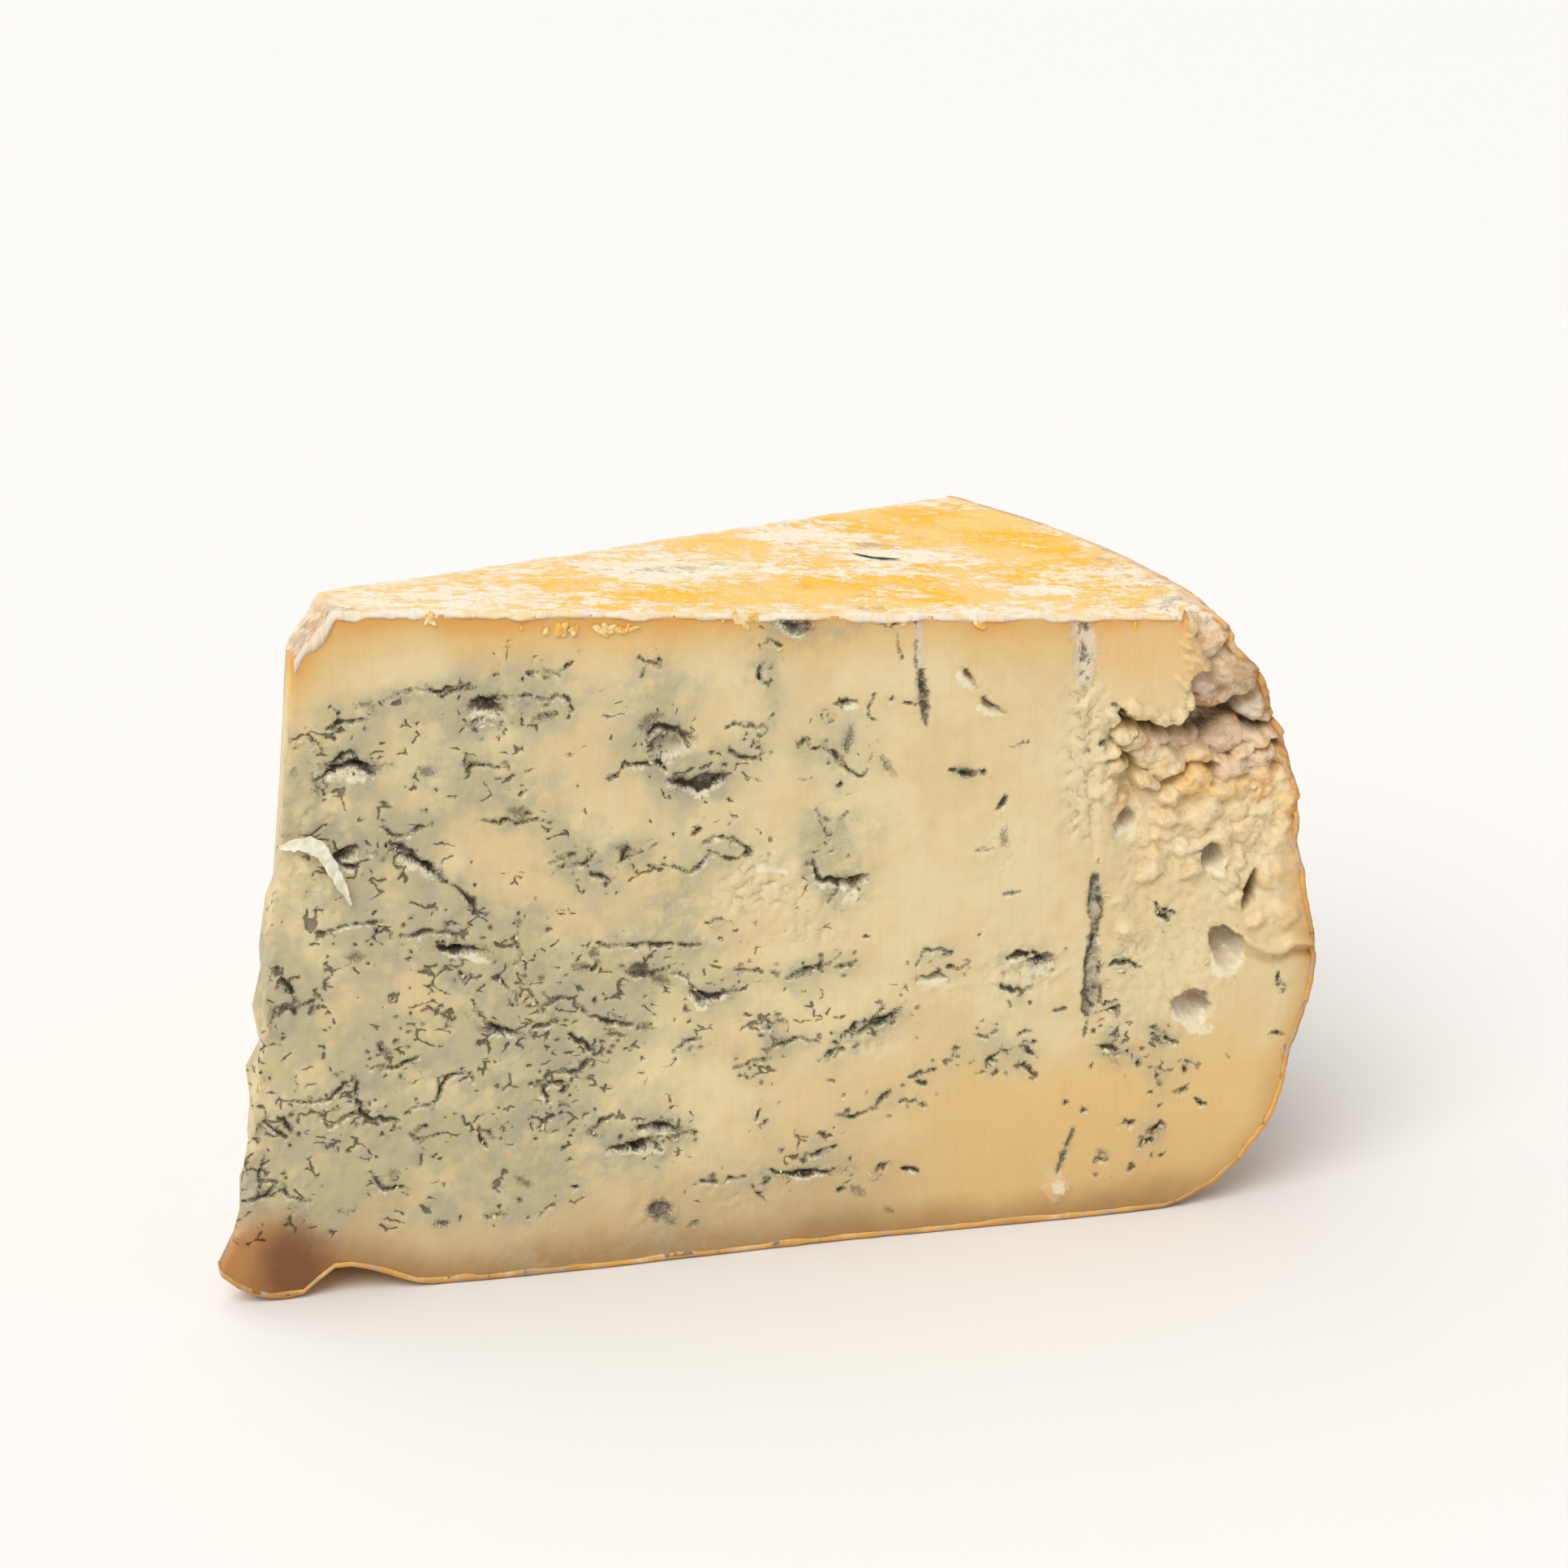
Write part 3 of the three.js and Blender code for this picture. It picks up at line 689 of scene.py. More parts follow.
def makePasteMaterial():
    material, tree, shader = newMaterial("paste")
    tones, fades = pasteTones, pasteFades
    rest = attribute(tree, "rest")["Vector"]
    crackGap, moldGap, paleGap = split(attribute(tree, "marks")["Vector"])
    fromTop, fromBase, fromRim = split(attribute(tree, "edges")["Vector"])
    veining, near, crumble = split(attribute(tree, "zones")["Vector"])
    placeX, _, placeZ = split(rest)
    tint, tinted = (attribute(tree, "tint")[name] for name in ("Color", "Alpha"))
    marks = placed(veinGroup, {"Rest": rest, "Veining": veining, "Crack Gap": crackGap, "Mold Gap": moldGap})
    grain = placed(grainGroup, {"Rest": rest, "Coarseness": 1.0})
    cloudy = noise(rest, 14.0, 3.0, 0.6, 71.0)
    small = noise(rest, 2.4, 3.0, 0.6, 75.0)
    wander = cloudy - 0.5

    edge = scaled(wander, 8.0, fromTop)
    lowEdge = scaled(wander, 6.0, fromBase)
    sideEdge = scaled(wander, 5.0, fromRim)
    block = step(placeX, *fades["blockX"]) * step(edge, *fades["block"], 0.0, 0.75)
    lowRight = step(placeX, *fades["warmX"]) * step(scaled(wander, 20.0, placeZ), *fades["warmZ"])

    # the grey that mould gives the paste about the cracks
    patchy = step(noise(rest, 8.0, 3.0, 0.6, 81.0), 0.34, 0.6)
    mottled = step(noise(rest, 2.8, 3.0, 0.6, 83.0), 0.36, 0.6, 0.5, 1.3)
    haze = scaled(near * mottled, 0.45, veining * step(patchy, 0.0, 1.0, 0.35, 0.85), clamp=True)
    haze = step(scaled(small - 0.5, 0.5, haze), 0.06, 0.82, 0.04, 0.96)
    haze = haze * step(noise(rest, 5.0, 3.0, 0.6, 87.0), 0.34, 0.62, 0.74, 1.0)
    greyness = blend(step(noise(rest, 6.0, 2.0, 0.5, 85.0), 0.42, 0.6), tones["halo"], tones["haloGreen"])
    knife = noise(vectorCalc("MULTIPLY", rest, (1.4, 1.4, 0.09)), 1.0, 2.0, 0.5, 88.0)

    colour = layered(
        blend(step(scaled(small, 0.35, cloudy), 0.54, 0.86), tones["clean"], tones["cream"]),
        (crumble * 0.6, tones["pale"]),
        # painted shade in the creases between the crumbs
        (marks["Crease"] * step(crumble, 0.25, 0.9, 0.0, 0.55), tones["crease"]),
        (step(edge, *fades["band"], 0.0, 0.8), tones["band"]),
        (block, tones["block"]),
        (step(edge, *fades["underRind"], 0.0, 0.9), tones["underRind"]),
        # painted shade towards the bottom of the cut
        (step(lowEdge, *fades["nearBase"], 0.0, 0.42), tones["nearBase"]),
        (lowRight * 0.7, tones["warm"]),
        (step(lowEdge, *fades["baseEdge"], 0.0, 0.72), tones["nearBase"]),
        (step(sideEdge, *fades["nearRim"], 0.0, 0.85), tones["nearRim"]),
        (haze, greyness),
        # the knife's vertical streaks are real marks that take the base shade's tone
        (step(knife, 0.52, 0.75, 0.0, 0.05), tones["nearBase"]),
    )
    for middle, stretch, wandering, fade, share, name in footStains:
        offset = vectorCalc("MULTIPLY", vectorCalc("SUBTRACT", rest, middle), stretch)
        away = scaled(wander, wandering, vectorCalc("LENGTH", offset, output="Value"))
        colour = blend(step(away, *fade, 0.0, share), colour, tones[name])

    # linings of the openings and the hollow's lumps, with pale fluff and brown stains
    fluff = noise(rest, 1.3, 5.0, 0.7, 5.0)
    stained = layered(
        tint,
        (step(noise(rest, 3.2, 4.0, 0.65, 15.0), 0.46, 0.68, 0.0, 0.35), tones["stain"]),
        (step(fluff, 0.44, 0.62, 0.0, 0.5), tones["fluff"]),
        (step(fluff, 0.44, 0.3, 0.0, 0.35), tones["stainDark"]),
    )
    rimBand = step(scaled(small - 0.5, 5.0, fromRim), *fades["amber"], 0.0, 0.85) * tinted
    crumbly = scaled(noise(rest, 0.8, 3.0, 0.6, 45.0) - 0.5, 2.2, paleGap)
    dark = blend(step(noise(rest, 2.2, 2.0, 0.6, 91.0), 0.42, 0.62), tones["crack"], tones["bluish"])
    colour = layered(
        colour,
        (tinted, stained),
        (rimBand, tones["amber"]),
        # pale marks: white mould and crumbs, and painted highlights on the lower lips of cracks and openings
        (step(crumbly, -0.5, 0.2, 0.0, 0.8), tones["white"]),
        (marks["Edge"] * 0.55, tones["edge"]),
        (marks["Fuzz"] * 0.8, dark),
        (marks["Crack"] * 0.9, dark),
    )
    waxy(shader, 0.22, 0.0022, 0.5)
    plug(colour, shader.inputs["Base Color"])
    plug(most(step(grain["Shade"], 0.3, 0.7, 0.42, 0.6), marks["Crack"] * 0.9), shader.inputs["Roughness"])
    puffs = noise(rest, 1.5, 3.0, 0.6, 95.0) * scaled(near, 1.5, tinted * 3.0)
    bumped(shader, grain["Height"] * 0.5 - marks["Crack"] + puffs, 0.0003, 0.8)
    return material


pasteMaterial = makePasteMaterial()
print("paste material made")

# Openings in the cut faces: place, full width and height, depth and tilt in degrees, then the kind of lining.
cavities = [
    (19, 83.8, 6.5, 1.1, 2.2, -6, "dark"), (39.2, 92.3, 4.0, 1.3, 2.2, 8, "dark"),
    (66.8, 83.2, 6.6, 4.2, 2.6, 8, "white"), (71.4, 77.4, 7.6, 2.0, 1.2, 6, "soot"),
    (17.6, 70.4, 4.4, 1.7, 2.4, 20, "dark"), (28.5, 68.4, 5.5, 0.9, 1.5, -38, "dark"),
    (34.9, 54.2, 4.8, 1.2, 2.6, -8, "dark"), (40.4, 40.6, 4.8, 1.0, 1.8, -16, "dark"),
    (62.4, 47.8, 5.0, 1.4, 0.8, -14, "soot"), (70.9, 43.2, 3.6, 1.5, 2.2, -24, "dark"),
    (61.0, 19.6, 4.6, 1.5, 1.8, 4, "dark"), (65.6, 22.0, 3.4, 1.1, 1.6, -10, "dark"),
    (88.1, 12.4, 6, 0.7, 1.0, 0, "dark"), (94.4, 59.2, 4.6, 1.6, 2.2, 12, "ochre"),
    (98, 35.8, 6, 1.0, 1.0, 24, "grey"), (107.4, 42.6, 4.4, 0.8, 1.4, -6, "ochre"),
    (124.6, 43.8, 4.6, 1.3, 1.8, 2, "ochre"), (64.6, 8.6, 3.8, 3.0, 0.8, 20, "soot"),
    (86.0, 100.4, 5.0, 1.9, 0.5, -12, "soot"), (112.6, 90.4, 3.2, 1.1, 1.4, -55, "ochre"),
    (116.2, 85.9, 4.8, 1.5, 1.4, -38, "ochre"), (93.9, 87.5, 2.6, 0.7, 1.0, 2, "ochre"),
    (138.3, 64.6, 4.0, 3.2, 2.6, 0, "hollow"), (152.2, 58.0, 3.6, 4.2, 4.5, 24, "hollow"),
    (158.8, 52.2, 2.6, 6.4, 7, -20, "deep"), (154.8, 43.2, 5.2, 7.6, 4.2, 16, "hollow"),
    (149.6, 34.0, 6.4, 5.4, 3.0, -14, "hollow"),
]
# each lining's low colour is its own; towards the top it darkens as painted shadow under the upper edge, and
# the deep one's dark brown is partly painted shade of its depth
linings = {  # colour low and high in an opening
    "dark": (tone(104, 94, 76), tone(60, 52, 42)), "grey": (tone(176, 166, 138), tone(104, 96, 78)),
    "white": (tone(226, 214, 186), tone(120, 108, 90)), "hollow": (tone(222, 208, 188), tone(132, 116, 98)),
    "deep": (tone(120, 84, 52), tone(84, 52, 30)), "powder": (tone(219, 207, 188), tone(208, 194, 172)),
    "slate": (tone(136, 136, 120), tone(112, 114, 102)), "soot": (tone(128, 118, 98), tone(98, 88, 74)),
    "ochre": (tone(196, 158, 92), tone(122, 96, 58)), "dusty": (tone(150, 134, 110), tone(128, 112, 90)),
    "pale": (tone(226, 196, 152), tone(226, 196, 152)),
}
backCavities = [
    (30, 72, 9, 2.2, 2.6, 10, "dark"), (52, 38, 8, 2.4, 2.8, -18, "dark"), (64, 80, 8, 3.6, 3.0, 14, "white"),
    (88, 56, 9, 2.6, 2.8, -8, "grey"), (104, 28, 8, 2.2, 2.2, 22, "dark"), (126, 66, 7, 3.2, 2.8, 6, "grey"),
]
needles = [  # the piercing needles' channels: radius, path, lining, its cover and how many dark specks
    (0.5, [(104.3, 104), (104.5, 98), (105.0, 91)], "powder", 0.8, 14),
    (0.66, [(105.1, 92), (105.5, 88.5), (105.8, 84.9)], "dusty", 0.8, 60),
    (1.4, [(129.9, 101), (130.4, 96), (130.8, 88)], "powder", 0.75, 30),
    (0.7, [(131.7, 86), (132.2, 74), (132.7, 60)], None, 0, 3),
    (0.75, [(133.0, 57), (133.3, 53), (133.5, 48)], "slate", 0.85, 12),
    (1.05, [(133.2, 47), (133.1, 42), (133.1, 37), (132.9, 34.4)], "slate", 0.85, 12),
    (0.35, [(130.4, 15), (129.0, 11), (128.2, 8)], "slate", 0.8, 8),
    (2.0, [(127.8, 7), (127.8, 4.4)], "pale", 0.45, 0),
]

# Cracks drawn on the front cut: half width, then the places they run through, by region.
cracks = [
    # by the tip, from the top down
    (0.22, [(7, 88), (9, 88.5), (12, 89)]), (0.2, [(13.5, 88), (15.5, 87)]),
    (0.2, [(15.5, 90), (18, 90.5), (22, 91)]), (0.34, [(14, 82), (16, 83.5), (20, 84), (22.5, 82.5)]),
    (0.2, [(16, 84.5), (18.5, 86), (21, 84)]), (0.16, [(25, 94), (29, 95), (33, 94.5), (37, 95.5)]),
    (0.14, [(33, 93.5), (35, 94.5), (38, 95)]), (0.32, [(37.5, 92), (39.5, 91.5), (42, 91)]),
    (0.16, [(42, 92.5), (45, 93), (48, 92), (50.5, 92.5), (52, 90)]), (0.2, [(36, 89), (38.5, 89.8), (41, 89)]),
    (0.2, [(48, 96.5), (50, 96), (52, 97)]), (0.18, [(36, 82), (38.5, 82.8), (41, 82.3)]),
    (0.14, [(38, 74), (42, 73.5), (46, 73.8), (49, 73.3)]),
    (0.16, [(23, 74.5), (25, 73), (27.5, 72.8), (29.5, 73.5)]), (0.4, [(17, 69), (19, 68.3)]),
    (0.16, [(21, 70), (23, 70)]), (0.36, [(24.5, 72), (27, 70.5), (28.5, 68.5), (30.5, 66.5)]),
    (0.2, [(30.5, 66.5), (33.5, 64.5), (36, 62), (37, 59.5), (39, 59.5)]),
    (0.18, [(13, 57.5), (15, 58.8), (19, 59.3), (23, 59.5)]), (0.2, [(26.5, 57), (30, 57.5), (33.5, 57)]),
    (0.44, [(31.5, 55), (34, 54), (36.5, 54)]), (0.14, [(9, 47), (13, 48)]),
    (0.14, [(5, 45), (7, 47.8), (9, 47.5)]), (0.14, [(28.5, 45), (30.5, 44.8), (32.5, 43)]),
    (0.3, [(38, 42.5), (40, 41), (42.5, 39.8)]), (0.16, [(46, 43), (48.5, 44.8), (50, 45)]),
    (0.2, [(20, 37), (24, 36.5), (28, 37.5)]), (0.22, [(8.5, 32), (13, 32), (16, 33.5), (18.5, 35.5)]),
    (0.26, [(18.5, 35), (18.5, 31.5), (20.5, 28.5), (24.5, 27.5)]), (0.2, [(7.5, 30), (8.5, 27.5)]),
    (0.2, [(12.5, 30), (14.5, 28), (18, 29.5)]), (0.16, [(4.5, 24), (3.5, 20.5)]),
    (0.2, [(2.5, 20), (6, 19.5), (8, 16.5), (11.5, 16)]), (0.16, [(0, 17), (3.5, 17.2), (5.5, 18.8)]),
    (0.2, [(27, 29.5), (30, 30), (31.5, 33.5), (34, 34.5), (36, 33)]),
    (0.2, [(20.5, 19), (22, 17), (25, 16.5)]), (0.14, [(27, 24), (31, 24.8)]),
    (0.16, [(29.5, 10.5), (31.5, 10)]), (0.14, [(37, 10.5), (40.5, 10.5)]),
    # middle of the face
    (0.2, [(43, 52.5), (44.5, 50.5), (43.5, 48)]), (0.16, [(48, 66.5), (50, 67.5), (52, 68)]),
    (0.2, [(51, 66), (53.5, 66.2), (55.5, 67.5)]), (0.2, [(54.5, 64.5), (57.5, 63)]),
    (0.14, [(61.5, 97.5), (63, 96.5), (65, 96)]), (0.3, [(63, 84.5), (65, 86.5), (68, 85.5), (69.5, 82.5)]),
    (0.26, [(57, 79), (60, 81.2), (63.5, 80.3)]), (0.24, [(63.5, 82), (66, 79.5)]),
    (0.5, [(66, 78), (69, 77.3), (72, 76.3), (75, 77.8)]), (0.2, [(75.5, 81.5), (78, 80.3), (80.5, 80.5)]),
    (0.2, [(75.5, 85.3), (79.5, 85.5), (81.5, 84.8)]), (0.2, [(81.5, 99), (83.5, 97.5)]),
    (0.16, [(81, 95.5), (80.5, 93), (82, 91)]), (0.28, [(60.5, 68), (59.5, 66), (62.5, 67)]),
    (0.18, [(65, 64.5), (70, 63.5), (73, 65.5), (76, 64.5), (79, 66)]),
    (0.2, [(71.5, 67.5), (75, 68), (79, 65.5)]), (0.16, [(55.5, 53), (60, 52.5), (66, 52), (71, 51.5)]),
    (0.2, [(53, 49.5), (55.5, 50)]), (0.26, [(60, 47.5), (62.5, 47), (65, 48)]),
    (0.26, [(66, 47.5), (68.5, 47), (70, 44.5)]), (0.44, [(70, 45), (72.5, 43), (75.5, 43.5)]),
    (0.16, [(76.5, 47), (80, 46.5)]), (0.14, [(72, 55), (76, 54.5)]),
    (0.2, [(54, 41.5), (58, 39.8), (60.5, 39.8)]), (0.16, [(57, 38), (60, 38)]),
    (0.16, [(66.5, 34.5), (68, 36), (71, 36.2)]), (0.2, [(49, 33), (52, 32.5), (54, 34)]),
    (0.18, [(46, 31), (50, 31)]), (0.14, [(81, 37.5), (84.5, 38)]), (0.2, [(84, 45), (87, 46), (90, 46.2)]),
    (0.16, [(81, 33), (85, 34.8), (89, 34.2)]), (0.16, [(76, 31), (80, 31.5), (82, 32)]),
    (0.34, [(56.5, 19.5), (59, 20), (62, 19.3)]), (0.3, [(61, 22.3), (64.5, 22)]),
    (0.16, [(66, 20.5), (69.5, 20.8)]), (0.14, [(53.5, 22.5), (55.5, 24), (57.5, 25)]),
    (0.2, [(80.5, 23.5), (79.5, 21.5)]), (0.18, [(71, 13), (74, 12.3), (78.5, 13)]),
    (0.26, [(81.5, 13.5), (85, 12.5), (88, 12), (92, 12.5)]),
    # towards the rim
    (0.16, [(87.5, 15), (92.5, 15.8)]), (0.2, [(88, 81.5), (91.5, 80.5), (94, 77), (97, 76.5), (98, 79.5)]),
    (0.18, [(91.5, 87.5), (95, 88)]), (0.14, [(98, 89), (97.5, 86), (98.5, 84.5)]),
    (0.2, [(89.5, 71), (90, 68.5), (91.5, 67)]), (0.36, [(88.5, 63), (90, 60.3), (94, 59.3), (97, 60)]),
    (0.26, [(92.5, 58), (91, 56)]), (0.2, [(93, 35), (97, 36.5), (99.5, 38.5)]),
    (0.22, [(96.5, 37), (98.5, 35.8), (101.5, 38)]), (0.18, [(90.5, 31.5), (93.5, 32)]),
    (0.18, [(92, 46), (95.5, 46.5)]), (0.2, [(105, 45), (106.5, 47.5), (110, 46.5)]),
    (0.14, [(109.5, 44), (113, 44.2)]), (0.12, [(110, 76), (115, 75)]), (0.24, [(117.5, 69), (119, 71)]),
    (0.14, [(114, 62.5), (117, 63)]), (0.24, [(118.5, 55), (121, 55.5)]),
    (0.3, [(119.5, 44), (122, 45), (126, 44.5)]), (0.2, [(118.5, 40), (121, 38.8), (123.5, 39.5)]),
    (0.2, [(114, 32.5), (116, 31.8), (117.5, 33)]), (0.16, [(116, 28), (119, 29), (121, 29.5)]),
    (0.16, [(102, 22.5), (105, 23)]), (0.26, [(102.5, 11.5), (105.5, 11)]), (0.14, [(97.5, 11.5), (101, 13)]),
    (0.12, [(92.5, 21), (97, 21.5), (101, 24.5)]), (0.14, [(104, 27), (108.5, 27.5)]),
    (0.2, [(142, 52), (143, 50.8), (143.7, 49.6), (145.5, 48)]), (0.12, [(143.7, 49.8), (146.5, 49)]),
    (0.22, [(135.5, 42), (138.5, 42.5), (141.5, 40.8)]), (0.24, [(134.5, 34.5), (137.5, 35)]),
    (0.22, [(143, 29.5), (146, 28.5), (147.5, 27.5)]), (0.16, [(163.5, 38.5), (164, 36.3)]),
    (0.2, [(163.5, 28), (165, 28)]), (0.16, [(135, 28.5), (138, 27)]), (0.2, [(141, 11), (143.5, 12)]),
    (0.3, [(138, 15), (141, 15.5)]), (0.16, [(134.5, 84.5), (137, 83.5), (139, 81.8)]),
    (0.2, [(98.5, 100.5), (101, 99.8)]), (0.26, [(82.5, 101.5), (88, 100.8)]),
    (0.16, [(134, 9), (134.7, 9.8), (137, 9.3)]), (0.24, [(143.5, 13), (144.6, 14.2), (145.8, 14.3)]),
    (0.2, [(141.5, 12.3), (142.3, 12.4)]), (0.3, [(144.3, 24.2), (144.3, 23.9)]),
    (0.26, [(144.3, 22.9), (144.3, 22.6)]), (0.22, [(146.5, 19.3), (148.7, 19.5), (149.5, 20.6)]),
    (0.2, [(150.6, 18.1), (152.6, 17.2)]), (0.16, [(156.6, 24.9), (157.3, 24)]),
    (0.2, [(151, 23.3), (151.7, 24)]), (0.24, [(131.9, 18.4), (132.8, 18)]),
    (0.22, [(129.4, 19.8), (129.5, 19.6)]), (0.2, [(122.6, 28.7), (124.3, 27.9)]),
    (0.18, [(121, 26.5), (122.6, 26.3), (124.2, 24.7)]), (0.22, [(134.5, 28.8), (136, 28.2), (137.2, 26.8)]),
    (0.2, [(148.7, 24.5), (148.8, 22.6)]),
    # short ones left of the middle
    (0.2, [(43.2, 56.5), (42.6, 54.5), (43.6, 52.5), (42.4, 51)]),
    (0.24, [(40.2, 49.5), (40.8, 48), (41.8, 46.6)]), (0.16, [(43.6, 46.6), (45.2, 46), (45.8, 44.4)]),
    (0.2, [(7.6, 52.2), (8.8, 50.8), (9.2, 49.2)]), (0.2, [(21.8, 40), (23, 38.2), (23.6, 36.8)]),
    (0.28, [(44.8, 39.8), (46.8, 40.4), (49.2, 41.2)]),
    (0.24, [(50.4, 38.8), (51.6, 37.4), (53.4, 36.6), (54.6, 35.4)]),
    (0.3, [(47.4, 31.6), (46.8, 29.6), (47.8, 28.2)]), (0.24, [(46.2, 24.8), (48.4, 25.6)]),
    (0.22, [(36.4, 25.4), (37, 23.4), (37.8, 21.8)]), (0.28, [(4.6, 29.4), (6.2, 27.6), (7.4, 26.8)]),
    (0.16, [(34.5, 50.5), (35.5, 49.5)]),
]
needleCracks = [  # in and beside the needle channels
    (0.5, [(105.7, 87.6), (105.8, 85.3)]), (0.25, [(105.2, 90.8), (105.6, 87.8)]),
    (0.06, [(104.1, 96), (104.4, 92)]), (0.1, [(106.0, 84.6), (106.2, 83.3)]),
    (0.14, [(129.0, 100.4), (131.2, 100.2)]), (0.2, [(130.4, 14.6), (129.6, 12.4)]),
    (0.26, [(129.3, 11.4), (128.8, 10)]), (0.14, [(128.6, 9), (128.1, 8)]),
    (0.2, [(130.9, 97.2), (131.2, 96.2)]), (0.16, [(130.7, 93.6), (131.2, 92.4)]),
    (0.1, [(130.2, 98.5), (130.6, 97.6)]), (0.16, [(133.5, 59.4), (133.8, 59.0)]),
    (0.14, [(133.7, 57), (133.6, 56)]), (0.16, [(132.5, 55.2), (133.3, 55.4), (133.8, 54.6)]),
    (0.2, [(132.5, 55), (132.4, 52), (132.5, 50)]), (0.34, [(133.8, 53.6), (134.2, 52.2)]),
    (0.16, [(134.2, 52), (134.3, 50.4), (133.8, 48.6)]),
    (0.18, [(132.9, 49.6), (133.0, 47.6), (133.4, 46.6), (132.8, 45.2), (132.2, 43), (132.1, 41)]),
    (0.16, [(132.1, 41), (132.2, 39.4), (131.8, 37.6), (131.7, 35.4), (131.9, 34.2), (132.6, 33.8)]),
    (0.1, [(134.3, 42.6), (134.4, 40.6)]), (0.13, [(134.5, 39), (134.6, 36.4), (134.2, 35.8)]),
    (0.1, [(132.3, 38), (132.6, 36.2)]), (0.3, [(135.0, 35.2), (136.0, 35.7)]),
    (0.16, [(136, 35.5), (137.6, 35.9)]), (0.1, [(132.3, 32.8), (132.1, 30.4)]),
    (0.12, [(101.4, 98), (102, 94)]),
]
# Soft dark tufts of mould, in the same way.
tufts = [
    (0.5, [(20.5, 93.5), (23, 92.8)]), (0.6, [(13.8, 82), (14.2, 79.8)]), (0.5, [(46, 89), (49.5, 89.5)]),
    (0.8, [(29, 83), (31, 81.5)]), (0.6, [(17.5, 54.5), (20, 54)]), (0.45, [(8, 51.5), (9.5, 49.5)]),
    (0.5, [(22, 39.3), (23.5, 38.8)]), (0.6, [(51.5, 50), (54, 49.3)]), (0.9, [(60, 47.8), (62.5, 47.3)]),
    (0.9, [(63.5, 47), (66, 45.5)]), (0.5, [(85, 45.2), (89, 46)]), (0.5, [(82.5, 34.5), (85, 34.6)]),
    (0.6, [(62, 39.5), (64, 38.8)]), (0.5, [(23, 19.5), (24.5, 19)]), (0.55, [(29.5, 10.3), (31.5, 10)]),
    (0.6, [(42, 16.3), (44.5, 14.8)]), (0.7, [(58.5, 68), (61, 67.3)]), (1.1, [(67, 78), (70, 77.3)]),
    (1.1, [(72, 77.3), (75, 77.5)]), (0.6, [(63.8, 84.3), (66, 85.3)]), (0.6, [(95, 9), (96.5, 7.5)]),
    (0.5, [(100.4, 5), (101.4, 4.4)]), (0.7, [(42.5, 75.3), (45.5, 74.5)]), (0.3, [(143.5, 30.5), (145.5, 29)]),
    (0.35, [(142.8, 28.3), (145.8, 27.8)]), (0.6, [(143, 13), (145.5, 14.2)]),
    (0.5, [(134.5, 10.6), (136, 10.3)]), (0.5, [(100, 36.2), (102.5, 38)]), (0.5, [(118.5, 66), (118.6, 63.5)]),
    (0.5, [(99.5, 78.5), (101, 76)]), (0.7, [(110.5, 75.6), (113.5, 75)]), (0.9, [(62, 86.8), (65.5, 88.3)]),
    (0.7, [(39, 93), (42.5, 92.5)]), (0.6, [(94.5, 84), (93.5, 80.5)]), (0.6, [(8.5, 79.5), (7.5, 76)]),
    (0.5, [(122.5, 43), (126.5, 43.5)]), (0.6, [(64.5, 8.5), (66.5, 6)]),
]
# Pale crumbs and places where the white mould lines the paste.
whites = [
    (0.9, [(64.5, 81.8), (68, 81.6)]), (0.6, [(66.2, 84.6), (67.5, 84.2)]), (0.3, [(79.5, 63), (84, 61.8)]),
    (0.7, [(94, 57), (95.5, 56.5)]), (0.35, [(61, 18.3), (65, 18.6)]), (0.35, [(35.5, 52.4), (38.5, 51.9)]),
    (0.9, [(127.5, 4.8), (129, 5.6)]), (0.7, [(152.6, 42.5), (153.6, 39.6), (156, 39.4)]),
    (0.8, [(146.6, 33), (149.6, 30.4), (153, 29.8)]), (0.5, [(146.6, 60), (149.6, 59)]),
    (0.5, [(122, 41.8), (125.5, 41.5)]), (0.5, [(133.2, 46), (133.9, 45.6)]),
    (0.3, [(82.8, 101.4), (84.2, 99.6), (87, 98.9)]), (0.45, [(37, 90.4), (40, 89.8)]),
    (0.5, [(17, 82), (21, 81.6)]),
]
crumblyPlaces = [  # middle, half width, half height, how crumbly
    (80, 60, 9, 6, 1.0), (93, 57, 5, 3.5, 1.0), (88, 52, 6, 4, 0.6), (122, 42, 7, 5, 1.0), (139, 43, 4, 5, 0.9),
    (131, 80, 3, 9, 0.8), (64, 8, 4, 4, 0.8), (13, 72, 5, 12, 0.9), (4, 58, 3, 7, 0.8), (118, 62, 5, 5, 0.6),
    (19, 83, 6, 3, 0.8), (42, 91, 5, 3, 0.9), (16, 30, 10, 5, 0.6), (68, 80, 6, 5, 0.6), (97, 33, 6, 3, 0.7),
    (110, 41, 5, 2.5, 0.7), (64, 19, 6, 3, 0.8), (22, 92, 4, 2, 0.4), (77, 10, 6, 4, 0.6),
]
calmPlaces = [  # clean paste: middle, half width, half height
    (40, 69, 9, 9), (115, 63, 13, 12), (122, 15, 22, 9), (33, 6, 18, 3.5), (19, 100, 16, 5), (57, 74, 6, 6),
    (143, 90, 10, 10), (150, 66, 15, 20), (104, 71, 8, 10), (154, 14, 10, 12), (101, 29, 4, 3), (71, 56, 6, 3),
    (100, 94, 14, 6), (76, 90, 5, 5), (158, 28, 8, 8),
]
